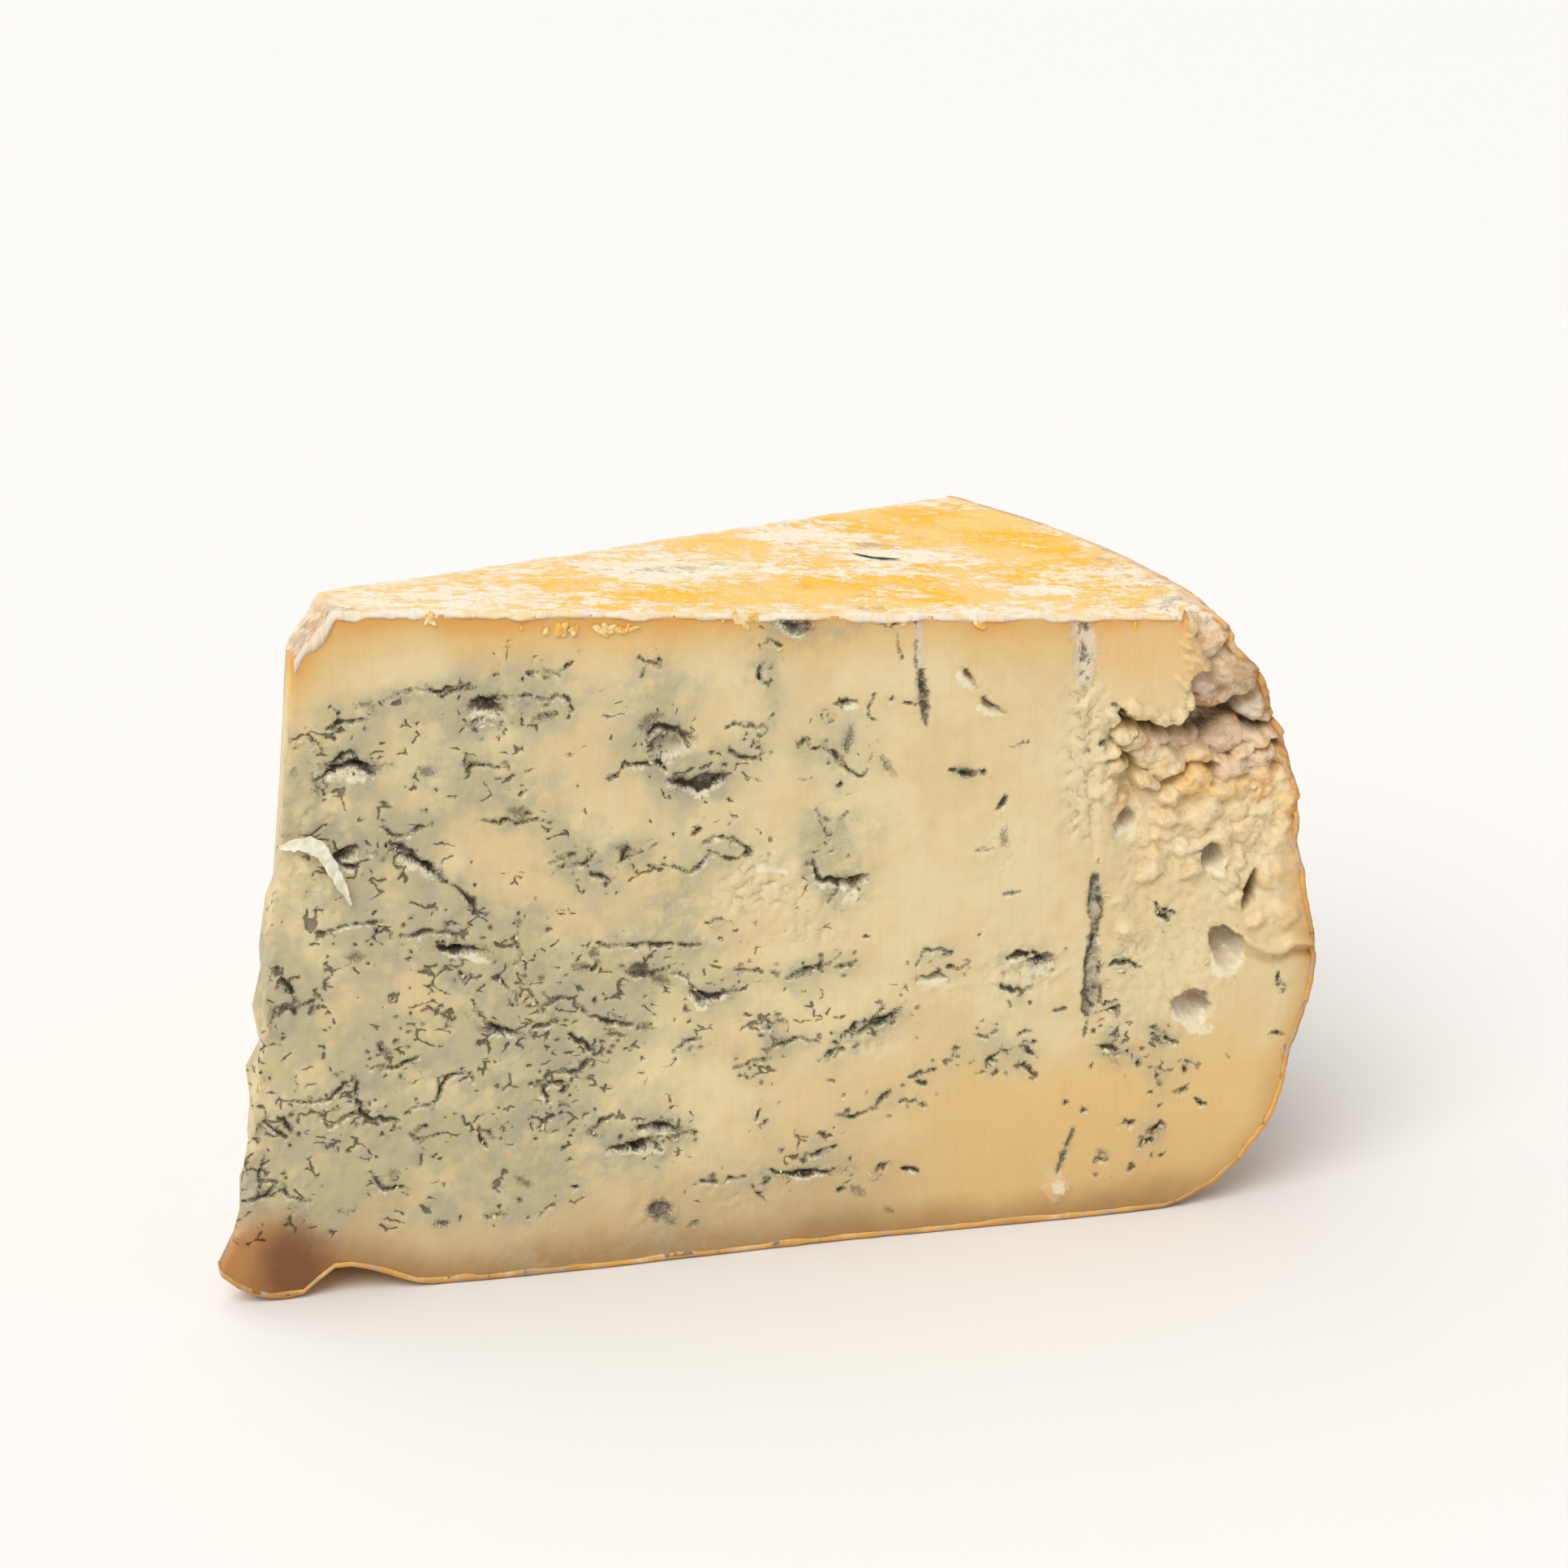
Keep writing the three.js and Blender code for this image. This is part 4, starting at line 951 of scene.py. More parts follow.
hazyPlaces = [  # greyer or clearer paste: middle, half width, half height, how much greyer
    (44, 30, 7, 20, 0.5), (44, 52, 6, 6, 0.3), (32, 92, 8, 5, 0.35), (8, 12, 6, 5, 0.4), (92, 101, 6, 4, 0.3),
    (68, 54, 7, 6, 0.5), (92, 64, 8, 8, 0.3), (56, 70, 7, 6, 0.25), (44, 78, 8, 5, 0.3), (50, 92, 20, 4, 0.2),
    (32, 60, 6, 5, 0.4), (31, 37, 6, 5, -0.5), (56, 39, 6, 5, 0.15), (56, 18, 10, 6, 0.3), (88, 99, 9, 4, 0.25),
    (54, 3, 30, 5, 0.25), (68, 92, 6, 5, 0.3), (80, 92, 6, 5, 0.2), (92, 68, 6, 4, 0.25), (68, 60, 5, 4, 0.2),
    (62, 28, 10, 4, 0.2), (20, 26, 7, 6, 0.35), (80, 59, 7, 7, -0.35), (104, 68, 6, 5, 0.15),
    (32, 80, 8, 6, 0.15), (8, 18, 5, 5, 0.3),
]


def turned(x, z, middleX, middleZ, degrees):  # places as seen along a tilted opening
    x, z, angle = x - middleX, z - middleZ, math.radians(degrees)
    return x * math.cos(angle) + z * math.sin(angle), -x * math.sin(angle) + z * math.cos(angle)


def strokeGap(x, z, strokes, reach=4.0):  # how far inside a stroke a place lies, below zero outside it
    gap = np.full(x.shape, -reach)
    for halfWide, path in strokes:
        path = np.array(path, float)
        low, high = path.min(axis=0) - reach, path.max(axis=0) + reach
        near = np.flatnonzero((x > low[0]) & (x < high[0]) & (z > low[1]) & (z < high[1]))
        px, pz = x[near], z[near]
        best = np.full(near.size, -reach)
        for part in range(len(path) - 1):
            start, way = path[part], path[part + 1] - path[part]
            share = np.clip(((px - start[0]) * way[0] + (pz - start[1]) * way[1]) / (way @ way), 0, 1)
            away = np.hypot(px - start[0] - share * way[0], pz - start[1] - share * way[1])
            thinning = 0.4 + 0.6 * np.sin(math.pi * (part + share) / (len(path) - 1))  # thinner at its ends
            best = np.maximum(best, halfWide * thinning - away)
        gap[near] = np.maximum(gap[near], best)
    return gap


def throughPoints(path, count):  # a smooth line through the places
    path = np.array(path, float)
    at = np.linspace(0, len(path) - 1, count)
    padded = np.vstack([2 * path[0] - path[1], path, 2 * path[-1] - path[-2]])
    index = np.minimum(at.astype(int), len(path) - 2)
    t = (at - index)[:, None]
    a, b, c, d = (padded[index + k] for k in range(4))
    return 0.5 * (2 * b + (c - a) * t + (2 * a - 5 * b + 4 * c - d) * t ** 2 + (3 * b - a - 3 * c + d) * t ** 3)


def torn(strokes, seed, spacing=0.8, aside=(0.12, 0.2)):  # drawn cracks follow a curve and tear a little
    draw = np.random.default_rng(seed)
    made = []
    for halfWide, path in strokes:
        length = sum(math.dist(start, end) for start, end in zip(path[:-1], path[1:]))
        line = throughPoints(path, max(3, round(length / spacing)))
        line[1:-1] += draw.normal(0, 1, (len(line) - 2, 2)) * aside
        made.append((halfWide, line.tolist()))
    return made


kin = {"share": (-0.35, 1.35), "aside": 1.5, "turn": 0.9, "bend": 0.45, "step": (0.12, 0.34), "rise": 0.8,
       "steps": (1, 2, 4, 7), "odds": (0.5, 0.24, 0.17, 0.09), "halfWide": (0.04, 0.12), "wider": 0.09}
wild = {"x": (2, 164), "z": (3, 97), "turn": 0.35, "bend": 0.5, "step": (0.3, 1), "halfWide": (0.08, 0.24)}


def kinStrokes(parents, seed, each):  # short jagged cracks and dots that gather about the longer ones
    draw = np.random.default_rng(seed)
    strokes = []
    for _, path in parents:
        first, last = path[0], path[-1]
        along = math.atan2(last[1] - first[1], last[0] - first[0])
        for _ in range(each):
            share = draw.uniform(*kin["share"])
            x = mix(first[0], last[0], share) + draw.normal(0, kin["aside"])
            z = mix(first[1], last[1], share) + draw.normal(0, kin["aside"])
            heading = along + draw.normal(0, kin["turn"])
            line = [(x, z)]
            for _ in range(draw.choice(kin["steps"], p=kin["odds"])):
                heading += draw.normal(0, kin["bend"])
                length = draw.uniform(*kin["step"])
                x, z = x + length * math.cos(heading), z + kin["rise"] * length * math.sin(heading)
                line.append((x, z))
            strokes.append((draw.uniform(*kin["halfWide"]) + kin["wider"] * draw.uniform() ** 3, line))
    return strokes


def wildStrokes(seed, count, longest):  # cracks with no parents, that mostly run level
    draw = np.random.default_rng(seed)
    strokes = []
    for _ in range(count):
        x, z = draw.uniform(*wild["x"]), draw.uniform(*wild["z"])
        path = [(x, z)]
        heading = draw.normal(0, wild["turn"])
        for _ in range(draw.integers(1, 4)):
            heading += draw.normal(0, wild["bend"])
            length = draw.uniform(*wild["step"]) * longest
            x, z = x + length * math.cos(heading), z + length * math.sin(heading)
            path.append((x, z))
        strokes.append((draw.uniform(*wild["halfWide"]), path))
    return strokes


def calmness(x, z):  # 1 in clean paste, 0 where veins may run
    return np.maximum.reduce([spot(x, z, *place, 4) for place in calmPlaces])


def specks(seed):  # dark dots strewn along the needles' channels
    draw = np.random.default_rng(seed)
    strokes = []
    for radius, path, _, _, count in needles:
        places = throughPoints(path, 60)[draw.integers(60, size=count)]
        for x, z in places + draw.normal(0, 0.5 * radius, (count, 2)):
            halfWide = draw.uniform(0.05, 0.17)
            strokes.append((halfWide, [(x, z), (x + draw.normal(0, 0.1), z + draw.normal(0, 0.25))]))
    return strokes


def awayFromCalm(strokes):
    return [stroke for stroke in strokes if calmness(*stroke[1][0]) < 0.5]


mould = {  # how it greys the paste: near the cracks and far from them, by spread in mm and strength
    "cell": 0.5, "startX": -10.0, "startZ": -8.0, "countX": 384, "countZ": 256, "spacing": 0.4, "least": 0.35,
    "byWidth": 2.2, "widest": 0.6, "layers": ((1.3, 2.2), (4.2, 5.5)),
}


def mouldClouds(strokes):  # gives a function of the place on the cut: how grey it is, near and far
    cell, countX, countZ = mould["cell"], mould["countX"], mould["countZ"]

    def cellsOf(x, z):
        return (x - mould["startX"]) / cell, (z - mould["startZ"]) / cell

    ink = np.zeros((countX, countZ))
    for halfWide, path in strokes:
        strength = mould["least"] + mould["byWidth"] * min(halfWide, mould["widest"])
        amount = mould["spacing"] * strength / cell ** 2
        for start, end in zip(path[:-1], path[1:]):
            count = max(1, round(math.dist(start, end) / mould["spacing"]))
            share = (np.arange(count) + 0.5) / count
            i, k = cellsOf(mix(start[0], end[0], share), mix(start[1], end[1], share))
            np.add.at(ink, (i.astype(int).clip(0, countX - 1), k.astype(int).clip(0, countZ - 1)), amount)
    waveX, waveZ = np.meshgrid(np.fft.fftfreq(countX, cell), np.fft.rfftfreq(countZ, cell), indexing="ij")
    layers = []
    for spread, strength in mould["layers"]:
        soft = np.exp(-2 * math.pi ** 2 * spread ** 2 * (waveX ** 2 + waveZ ** 2))
        blurred = np.fft.irfft2(np.fft.rfft2(ink) * soft, s=ink.shape)
        layers.append(1 - np.exp(-strength * np.clip(blurred, 0, None)))

    def at(x, z):
        i, k = cellsOf(x, z)
        i, k = np.clip(i, 0, countX - 1.001), np.clip(k, 0, countZ - 1.001)
        lowI, lowK = i.astype(int), k.astype(int)
        partI, partK = i - lowI, k - lowK
        found = []
        for layer in layers:
            near = mix(layer[lowI, lowK], layer[lowI + 1, lowK], partI)
            far = mix(layer[lowI, lowK + 1], layer[lowI + 1, lowK + 1], partI)
            found.append(mix(near, far, partK))
        return found

    return at


paste = {
    "cells": (540, 30, 320),
    "fineFrom": (0.72, 0.79),
    "underRind": 0.5,  # the paste's skin lies this far below the rind's
    "triangles": 190000,
    "veinDepth": 0.4,
    "lipHeight": 0.3,
    "crumbHeight": 0.9,
    "crackDepth": 0.8,
    "moldDepth": 0.45,
    "farGap": -4.0,  # stands for no mark nearby
    "kin": 6,  # short cracks by each long one
    "wildFront": (6, 50, 1.0),  # seed, count and longest step
    "wildBack": (8, 130, 2.2),
}
foldedLip = {"halfWide": 1.05, "height": 1.9, "crease": 0.9, "creaseWide": 0.6, "below": 1.9, "fadeDepth": 5,
             "path": [(154.6, 46.6), (156.6, 45.4), (158.8, 43.8), (161.4, 42.6), (163.8, 42.5), (165.4, 43.6),
                      (167.2, 43.4), (169.6, 42.6)]}
needleDepths = {"powder": 0.35, "slate": 0.8, "dusty": 0.9, "pale": 0.0}
plainNeedleDepth = 0.4


faceLook = {  # noises are given as amount, size and seed
    "wanderX": ((0.32, 3.2, 31), (0.24, 1.2, 32)),
    "wanderZ": ((0.32, 3.2, 33), (0.27, 1.2, 34)),
    "width": ((0.17, 0.8, 35), (0.1, 2.5, 36)),
    "narrower": 0.07,
    "rougher": 1.2,
    "roughX": (0.4, 2.0, 37),
    "roughZ": (0.4, 2.0, 38),
    "lipFrom": 0.15,  # cracks of this half width have a raised lip, this far below
    "lipBelow": 0.6,
    # painted highlight, partly white crumbs, on the lower lip of the thickest cracks
    "paleFrom": 0.29,  # and these a pale one
    "paleBelow": 0.9,
    "crackSlope": 2.2,
    "moldSlope": 0.5,
    "cover": 0.92,
}


def linedOver(lined, lining, shade, cover):  # a lining shows where it covers more than those before
    return np.where(cover[:, None] > lining[:, None], shade, lined), np.maximum(lining, cover)


def faceMarks(x, z, strokes, softStrokes, paleStrokes, openings):
    # depth behind the cut, colour and cover of the linings, and the gaps to cracks, mould and pale places;
    # these also carry painted shadow at the openings' tops and painted highlights on lower lips
    places = np.stack([x, 0 * x, z], axis=1)
    wanderX, wanderZ = uneven(places, *faceLook["wanderX"]), uneven(places, *faceLook["wanderZ"])
    wideX, wideZ = x + wanderX, z + wanderZ
    crackGap = strokeGap(wideX, wideZ, strokes) + (uneven(places, *faceLook["width"]) - faceLook["narrower"])
    moldGap, paleGap = strokeGap(wideX, wideZ, softStrokes), strokeGap(wideX, wideZ, paleStrokes)
    # the thick cracks have a raised and pale lower lip: the paleness is painted highlight on the lip, partly
    # white crumbs
    thick = [stroke for stroke in strokes if stroke[0] > faceLook["lipFrom"]]
    thickest = [stroke for stroke in thick if stroke[0] > faceLook["paleFrom"]]
    lipGap = strokeGap(wideX, wideZ + faceLook["lipBelow"], thick)
    lip = paste["lipHeight"] * ease(lipGap, -0.75, 0.1) * ease(crackGap, 0.02, -0.12)
    crumbAndHighlightGap = strokeGap(wideX, wideZ + faceLook["paleBelow"], thickest)
    paleGap = np.maximum.reduce([paleGap, np.minimum(lipGap, 0.25) - 0.32, np.minimum(crumbAndHighlightGap, 0.3) - 0.1])
    depth = np.clip((crackGap + 0.08) * faceLook["crackSlope"], 0, paste["crackDepth"])
    depth = depth + np.clip(moldGap * faceLook["moldSlope"], 0, paste["moldDepth"]) - lip
    roughX = uneven(places, faceLook["roughX"], start=x + faceLook["rougher"] * wanderX)
    roughZ = uneven(places, faceLook["roughZ"], start=z + faceLook["rougher"] * wanderZ)
    lined, lining = np.zeros((len(x), 3)), np.zeros(x.shape)
    for middleX, middleZ, wide, tall, deep, tilt, kind in openings:
        run, climb = turned(roughX, roughZ, middleX, middleZ, tilt)
        spread = np.hypot(run / (wide / 2), climb / (tall / 2))
        inside = (1 - spread) * min(wide, tall) / 2
        depth = np.maximum(depth, deep * np.sqrt(np.clip(1 - spread ** 2, 0, 1)))
        # painted shadow: the lining goes from its low colour to its darker high one towards the top of the
        # opening
        low, high = (np.array(shade[:3]) for shade in linings[kind])
        shade = mix(low, high, ease(climb / tall, -0.35, 0.3)[:, None])
        lined, lining = linedOver(lined, lining, shade, faceLook["cover"] * ease(inside, -0.12, 0.25))
        # painted shadow: dark and ochre openings get a dark crack over their upper half, and grey and white
        # ones along their upper rim, for the shade under the upper edge; the pale rims below dark, ochre and
        # hollow openings are painted light on the lower lip, partly white mould and crumbs
        above, below = climb > 0, climb < 0
        rimGap = 0.2 - abs(inside)
        beyond = 1.3 * np.clip(abs(run) - 0.4 * wide, 0, None)
        if kind == "soot":
            moldGap = np.maximum(moldGap, inside + 0.1)
        elif kind in ("dark", "ochre"):
            narrower, fainter = (0.12, 0) if kind == "dark" else (0.4, 0.5)
            crackGap = np.maximum(crackGap, np.where(above, inside, -1) - narrower)
            moldGap = np.maximum(moldGap, rimGap - fainter)
            paleGap = np.maximum(paleGap, np.where(below, 0.4 - abs(inside + 0.35) - beyond, -1))
        elif kind in ("grey", "white"):
            moldGap = np.maximum(moldGap, rimGap - np.where(above, 0, 0.5))
            crackGap = np.maximum(crackGap, np.where(climb > 0.2 * tall, 0.1 - abs(inside), -1))
        elif kind == "hollow":
            paleGap = np.maximum(paleGap, np.where(below, 0.45 - abs(inside + 0.2) - beyond, -1))
    return depth, lined, lining, crackGap, moldGap, paleGap


def needleMarks(places, depth, lined, lining, crackGap):  # the channels the needles left, on the front cut
    x, z = uneven(places, (0.25, 1.6, 54), start=places[:, 0]), places[:, 2]
    gap = np.maximum(strokeGap(x, z, torn(needleCracks, 7)) - 0.06, strokeGap(x, z, specks(12)))
    crackGap = np.maximum(crackGap, uneven(places, (0.1, 0.8, 55), start=gap))
    for radius, path, kind, cover, _ in needles:
        channel = strokeGap(x, z, [(radius, path)]) + radius * uneven(places, (0.4, 0.9, 59), start=0.3)
        bottom = np.clip(radius ** 2 - np.clip(radius - channel, 0, radius) ** 2, 0, None)
        depth = np.maximum(depth, needleDepths.get(kind, plainNeedleDepth) * np.sqrt(bottom))
        if kind:
            shade = np.array(linings[kind][0][:3])
            lined, lining = linedOver(lined, lining, shade, cover * ease(channel, -0.45, 0.5))
    return depth, lined, lining, crackGap


crumbling = {  # by the hollow, with a column beside it
    "fromX": (133, 138), "topZ": (86, 80), "lowZ": (24, 33), "toX": (168, 160), "least": 0.45, "most": 0.9,
    "risingZ": (56, 68), "smooth": ((143, 63, 6, 6), (160, 30, 9, 9)), "smoother": 0.8, "columnX": 131,
    "columnWide": 3.6, "columnFrom": (58, 66), "columnTo": (92, 86), "elsewhere": 0.15,
}


def crumbliness(x, z):  # how crumbly the front cut is
    sides = (x, "fromX"), (z, "topZ"), (z, "lowZ"), (x, "toX")
    crumbly = math.prod(ease(place, *crumbling[name]) for place, name in sides)
    crumbly = crumbly * mix(crumbling["least"], crumbling["most"], ease(z, *crumbling["risingZ"]))
    smooth = sum(spot(x, z, *place) for place in crumbling["smooth"])
    column = np.exp(-((x - crumbling["columnX"]) / crumbling["columnWide"]) ** 2)
    column = column * ease(z, *crumbling["columnFrom"]) * ease(z, *crumbling["columnTo"])
    crumbly = np.maximum(crumbly * (1 - crumbling["smoother"] * np.clip(smooth, 0, 1)), column)
    for *place, share in crumblyPlaces:
        crumbly = np.maximum(crumbly, share * spot(x, z, *place))
    return crumbly


def greyShares(x, z, clouds):  # how grey the front cut is: far from the cracks and near them
    near, far = clouds(x, z)
    calm = calmness(x, z)
    evened = mix(1.0, 0.6, ease(x, 55, 110)) * (1 - calm)
    byTip = 0.5 * ease(x, 64, 38) * ease(z, 84, 74) * ease(z, 4, 14) * (1 - 0.4 * calm)
    for *place, share in hazyPlaces:
        near = near + share / 0.45 * spot(x, z, *place)
    return np.clip(far * evened + byTip, 0, 1), near


def shapeLip(points, rest, front):  # the lip folded over by the hollow's corner, with a crease below it
    x, z = rest[:, 0], rest[:, 2]
    path = foldedLip["path"]
    crease = ease(strokeGap(x, z + foldedLip["below"], [(foldedLip["creaseWide"], path)]), -0.7, 0.4)
    points[front, 1] += (foldedLip["crease"] * crease * ease(x, 153, 157))[front]
    ridge = ease(strokeGap(x, z, [(foldedLip["halfWide"], path)]), -0.35, 0.75)
    fading = np.clip(1 - rest[:, 1] / foldedLip["fadeDepth"], 0, 1)
    points[:, 1] -= foldedLip["height"] * ridge * fading * ease(x, 153, 156)


def shapeTip(points, rest, front):  # the tip's cut edge is ragged
    z = rest[:, 2]
    near = np.exp(-(rest[:, 0] - tipFrontX(z)) / 2.2) * ease(z, 70, 62) * ease(z, 6, 12)
    points[:, 0] += near * (uneven(rest, (0.6, 4.5, 56), (0.6, 1.7, 57)) + 0.35)
    points[front, 1] -= (near * 1.1 * np.clip(unevenness(rest, 2.2, 58), -0.3, 1))[front]


def buildPaste():
    along, across, up, quads = latticeBox(paste["cells"])
    along = np.interp(along, (0, paste["fineFrom"][0], 1), (0, paste["fineFrom"][1], 1))  # finer by the hollow
    onRim = ease(along, 0.93, 1) * ease(up, 0, 0.05) * ease(up, 1, 0.95)
    up = upShare(up)
    _, _, dips, _ = rindDips(wedgePoints(along, across, up))
    points = wedgePoints(along, across, up, paste["underRind"] + onRim * (dips - 0.05))
    rest = points.copy()
    x, y, z = rest.T
    backRun = np.hypot(x, y)
    front, back = across == 0, across == 1
    marks = np.full((len(points), 3), paste["farGap"])
    outward = np.zeros((len(points), 3))

    small = kinStrokes(cracks, 5, paste["kin"]) + wildStrokes(*paste["wildFront"])
    drawn = torn(cracks, 4) + awayFromCalm(small)
    depth, lined, lining, *gaps = faceMarks(x[front], z[front], drawn, tufts, whites, cavities)
    depth, lined, lining, gaps[0] = needleMarks(rest[front], depth, lined, lining, gaps[0])
    marks[front] = np.stack(gaps, axis=1)
    outward[front] = (0, -1, 0)
    sunk, tint, tinted = recess(x, z)
    tinted = np.where(across < 1, tinted * np.clip(1 - y / 14, 0, 1), 0)
    tint[front] = mix(tint[front], lined, np.maximum(lining, tinted[front] < 0.01)[:, None])
    tinted[front] = np.maximum(tinted[front], lining)
    behindCut(points, y, np.where(across < 1, sunk, 0))
    points[front, 1] += depth
    shapeTip(points, rest, front)
    shapeLip(points, rest, front)
    swollen(points, rest)

    backStrokes = wildStrokes(*paste["wildBack"])
    backStrokes = torn(backStrokes, 10) + kinStrokes(backStrokes, 9, paste["kin"])
    backMarks = faceMarks(backRun[back], z[back], backStrokes, tufts[4:20], [], backCavities)
    depth, tint[back], tinted[back], *gaps = backMarks
    marks[back] = np.stack(gaps, axis=1)
    outward[back] = (-math.sin(wheel["wedgeAngle"]), math.cos(wheel["wedgeAngle"]), 0)
    points[back] -= outward[back] * depth[:, None]

    far, near = greyShares(x, z, mouldClouds(drawn + tufts))
    backNear, backFar = mouldClouds(backStrokes)(backRun, z)
    nearShare = np.where(back, backNear, np.where(front, np.clip(near, 0, 1.6), 0.3 * near))
    crumbly = np.where(front, crumbliness(x, z), crumbling["elsewhere"])
    zones = [np.where(back, backFar, far), nearShare, crumbly]
    fromRim = np.interp(z, outline["height"], outline["reach"]) - backRun
    edges = [topSurface(x, y) - z, z - underside(x, y), fromRim]
    marks[(across > 0) & (across < 1)] = paste["farGap"]
    body = meshFrom("pasteBody", inFrame(points), quads)
    storeVectors(body, rest=rest, marks=marks, zones=np.stack(zones, axis=1), edges=np.stack(edges, axis=1),
                 outward=outward)
    colours = body.data.attributes.new("tint", "FLOAT_COLOR", "POINT")
    colours.data.foreach_set("color", np.column_stack([tint, tinted]).astype(np.float32).ravel())
    return body, ~front & ~(back & (marks.max(axis=1) > -0.8))


def namedVector(tree, name):
    node = nodeOf(tree, "GeometryNodeInputNamedAttribute", {"Name": name}, data_type="FLOAT_VECTOR")
    return Field(node.outputs["Attribute"])


def finishTree(geometry, given, made):  # the last nodes of every tree
    realized = nodeOf(geometry.tree, "GeometryNodeRealizeInstances", {0: geometry})
    inputs = {"Geometry": Field(realized.outputs[0]), "Material": given["Material"]}
    painted = nodeOf(geometry.tree, "GeometryNodeSetMaterial", inputs)
    plug(Field(painted.outputs[0]), made["Geometry"])


def makeReliefTree():  # fine cracks and crumbs as relief on the cut faces, from the same veins as the colour
    inputs = {"Geometry": "Geometry", "Vein Depth": "Float", "Crumb Height": "Float", "Material": "Material"}
    tree, given, made = groupOf("pasteRelief", "GeometryNodeTree", inputs, {"Geometry": "Geometry"})
    rest = namedVector(tree, "rest")
    veining, _, crumble = split(namedVector(tree, "zones"))
    sunk = veinField(rest, veining) * given["Vein Depth"]
    crumbs = (crumbField(rest) - 0.6) * crumble * given["Crumb Height"]
    swell = (noise(rest, 2.8, 2.0, 0.55, 19.0) - 0.5) * scaled(veining, 0.75, 0.12)
    offset = vectorCalc("SCALE", namedVector(tree, "outward"), scale=(crumbs + swell - sunk) * 0.001)
    moved = nodeOf(tree, "GeometryNodeSetPosition", {"Geometry": given["Geometry"], "Offset": offset})
    finishTree(Field(moved.outputs[0]), given, made)
    return tree


def runTree(piece, tree, **values):
    modifier = piece.modifiers.new(tree.name, "NODES")
    modifier.node_group = tree
    for item in tree.interface.items_tree:
        key = item.name.replace(" ", "")
        if item.item_type == "SOCKET" and item.in_out == "INPUT" and key in values:
            modifier[item.identifier] = values[key]


def thinned(piece, triangles, spare):  # spare: a point mask of where more faces may go
    modifier = piece.modifiers.new("thinned", "DECIMATE")
    modifier.ratio = min(1.0, triangles / triangleCount(piece.data))
    group = piece.vertex_groups.new(name="spare")
    group.add(np.flatnonzero(spare).tolist(), 1.0, "REPLACE")
    group.add(np.flatnonzero(~spare).tolist(), 0.25, "REPLACE")
    modifier.vertex_group = "spare"
    modifier.vertex_group_factor = 1.0


pasteBody, plainPaste = buildPaste()
runTree(pasteBody, makeReliefTree(), VeinDepth=paste["veinDepth"], CrumbHeight=paste["crumbHeight"],
        Material=pasteMaterial)
thinned(pasteBody, paste["triangles"], plainPaste)
settled(pasteBody, pasteMaterial)
pasteBody.data.attributes.remove(pasteBody.data.attributes["outward"])
print("paste cut and veined")

rind = {
    "cells": (540, 250, 60),  # along the top, down the rim and back along the underside
    "across": 140,
    "thickTop": 0.7,
    "thickBevel": 1.7,
    "thickSide": 0.7,
    "thickBase": 0.6,
    "proud": 0.45,  # its torn edge stands in front of the cut
    "triangles": 180000,
    "crustX": (19, 15),  # by the tip
    "crusty": (0.7, 1.8, 48),
    "hollowZ": (44, 52),  # it is worn beside the hollow
    "hollowY": (14, 2),
    "worn": 0.9,
    "torn": ((0.55, 2.6, 45), (0.35, 1.4, 46)),
    "wide": (8, 86),  # the wedge's width by the tip and by the rim, about
    "standing": 0.45,  # how far from a cut its edge still stands out, droops and shows bare
    "drooping": 0.7,
    "bare": 3.5,
}
topPatches = [  # on the top, by x and y: middle, half sizes, from -1 for white mould to 1 for bare orange
    (125, 55, 17, 13, 0.9), (136, 36, 10, 10, 0.55), (108, 63, 8, 5, 0.8), (97, 46, 13, 3.2, -0.9),
    (112, 34, 14, 3.2, -0.8), (108, 21, 16, 5, 0.35), (92, 14, 14, 5, 0.9), (84, 43, 9, 4, 1.0),
    (75, 46, 5, 3, 0.8), (73, 25, 13, 5, -1.0), (72, 9, 15, 4.5, 0.75), (54, 18, 7, 6, 0.35),
    (40, 9, 12, 6, -0.4), (22, 5, 10, 6, -0.7), (120, 4, 16, 2.6, -0.5), (140, 9, 9, 6, 0.3),
    (148, 6, 6, 5, -0.4), (105, 25, 6, 4, -0.35), (128, 14, 5, 2.4, -0.9), (112, 10, 9, 3, 0.9),
    (97, 30, 8, 4, 0.3), (144, 22, 5, 8, -0.3), (132, 22, 10, 5, 0.3),
]
topStains = [  # grey and beige mould on the white of the top, by x and y
    (12, 2, 4, 3, 1.3), (14, 5, 3, 3, 0.8), (17, 2, 3, 2, 0.5), (76, 26, 6, 2.4, 1.0), (69, 24, 4, 2, 0.9),
    (80, 20, 4, 1.6, 0.7), (97.5, 41.5, 3, 1.6, 0.9), (108.5, 41.2, 3.4, 1.4, 1.0), (122, 9, 4, 1.6, 0.5),
    (98, 3, 3, 1.4, 1.2), (146, 5, 5, 4, 0.9), (147, 16, 4, 6, 0.8), (60, 30, 4, 2, 0.5), (145, 30, 4, 7, 0.7),
]
rimPatches = [  # on the rim, by y and height
    (2, 92, 6, 6, -0.8), (4, 82, 5, 4, 0.8), (3, 74, 5, 5, -0.9), (2, 62, 5, 6, 0.7), (20, 80, 10, 12, -0.6),
    (30, 60, 14, 12, 0.4), (50, 85, 12, 9, -0.7), (62, 50, 14, 16, 0.5), (12, 40, 10, 14, 0.5),
    (40, 30, 16, 12, -0.5), (74, 75, 10, 14, -0.5), (15, 12, 14, 8, 0.3),
]


def patchLevel(u, v, patches):
    return np.clip(sum(level * spot(u, v, *place) for *place, level in patches), -1.2, 1.2)


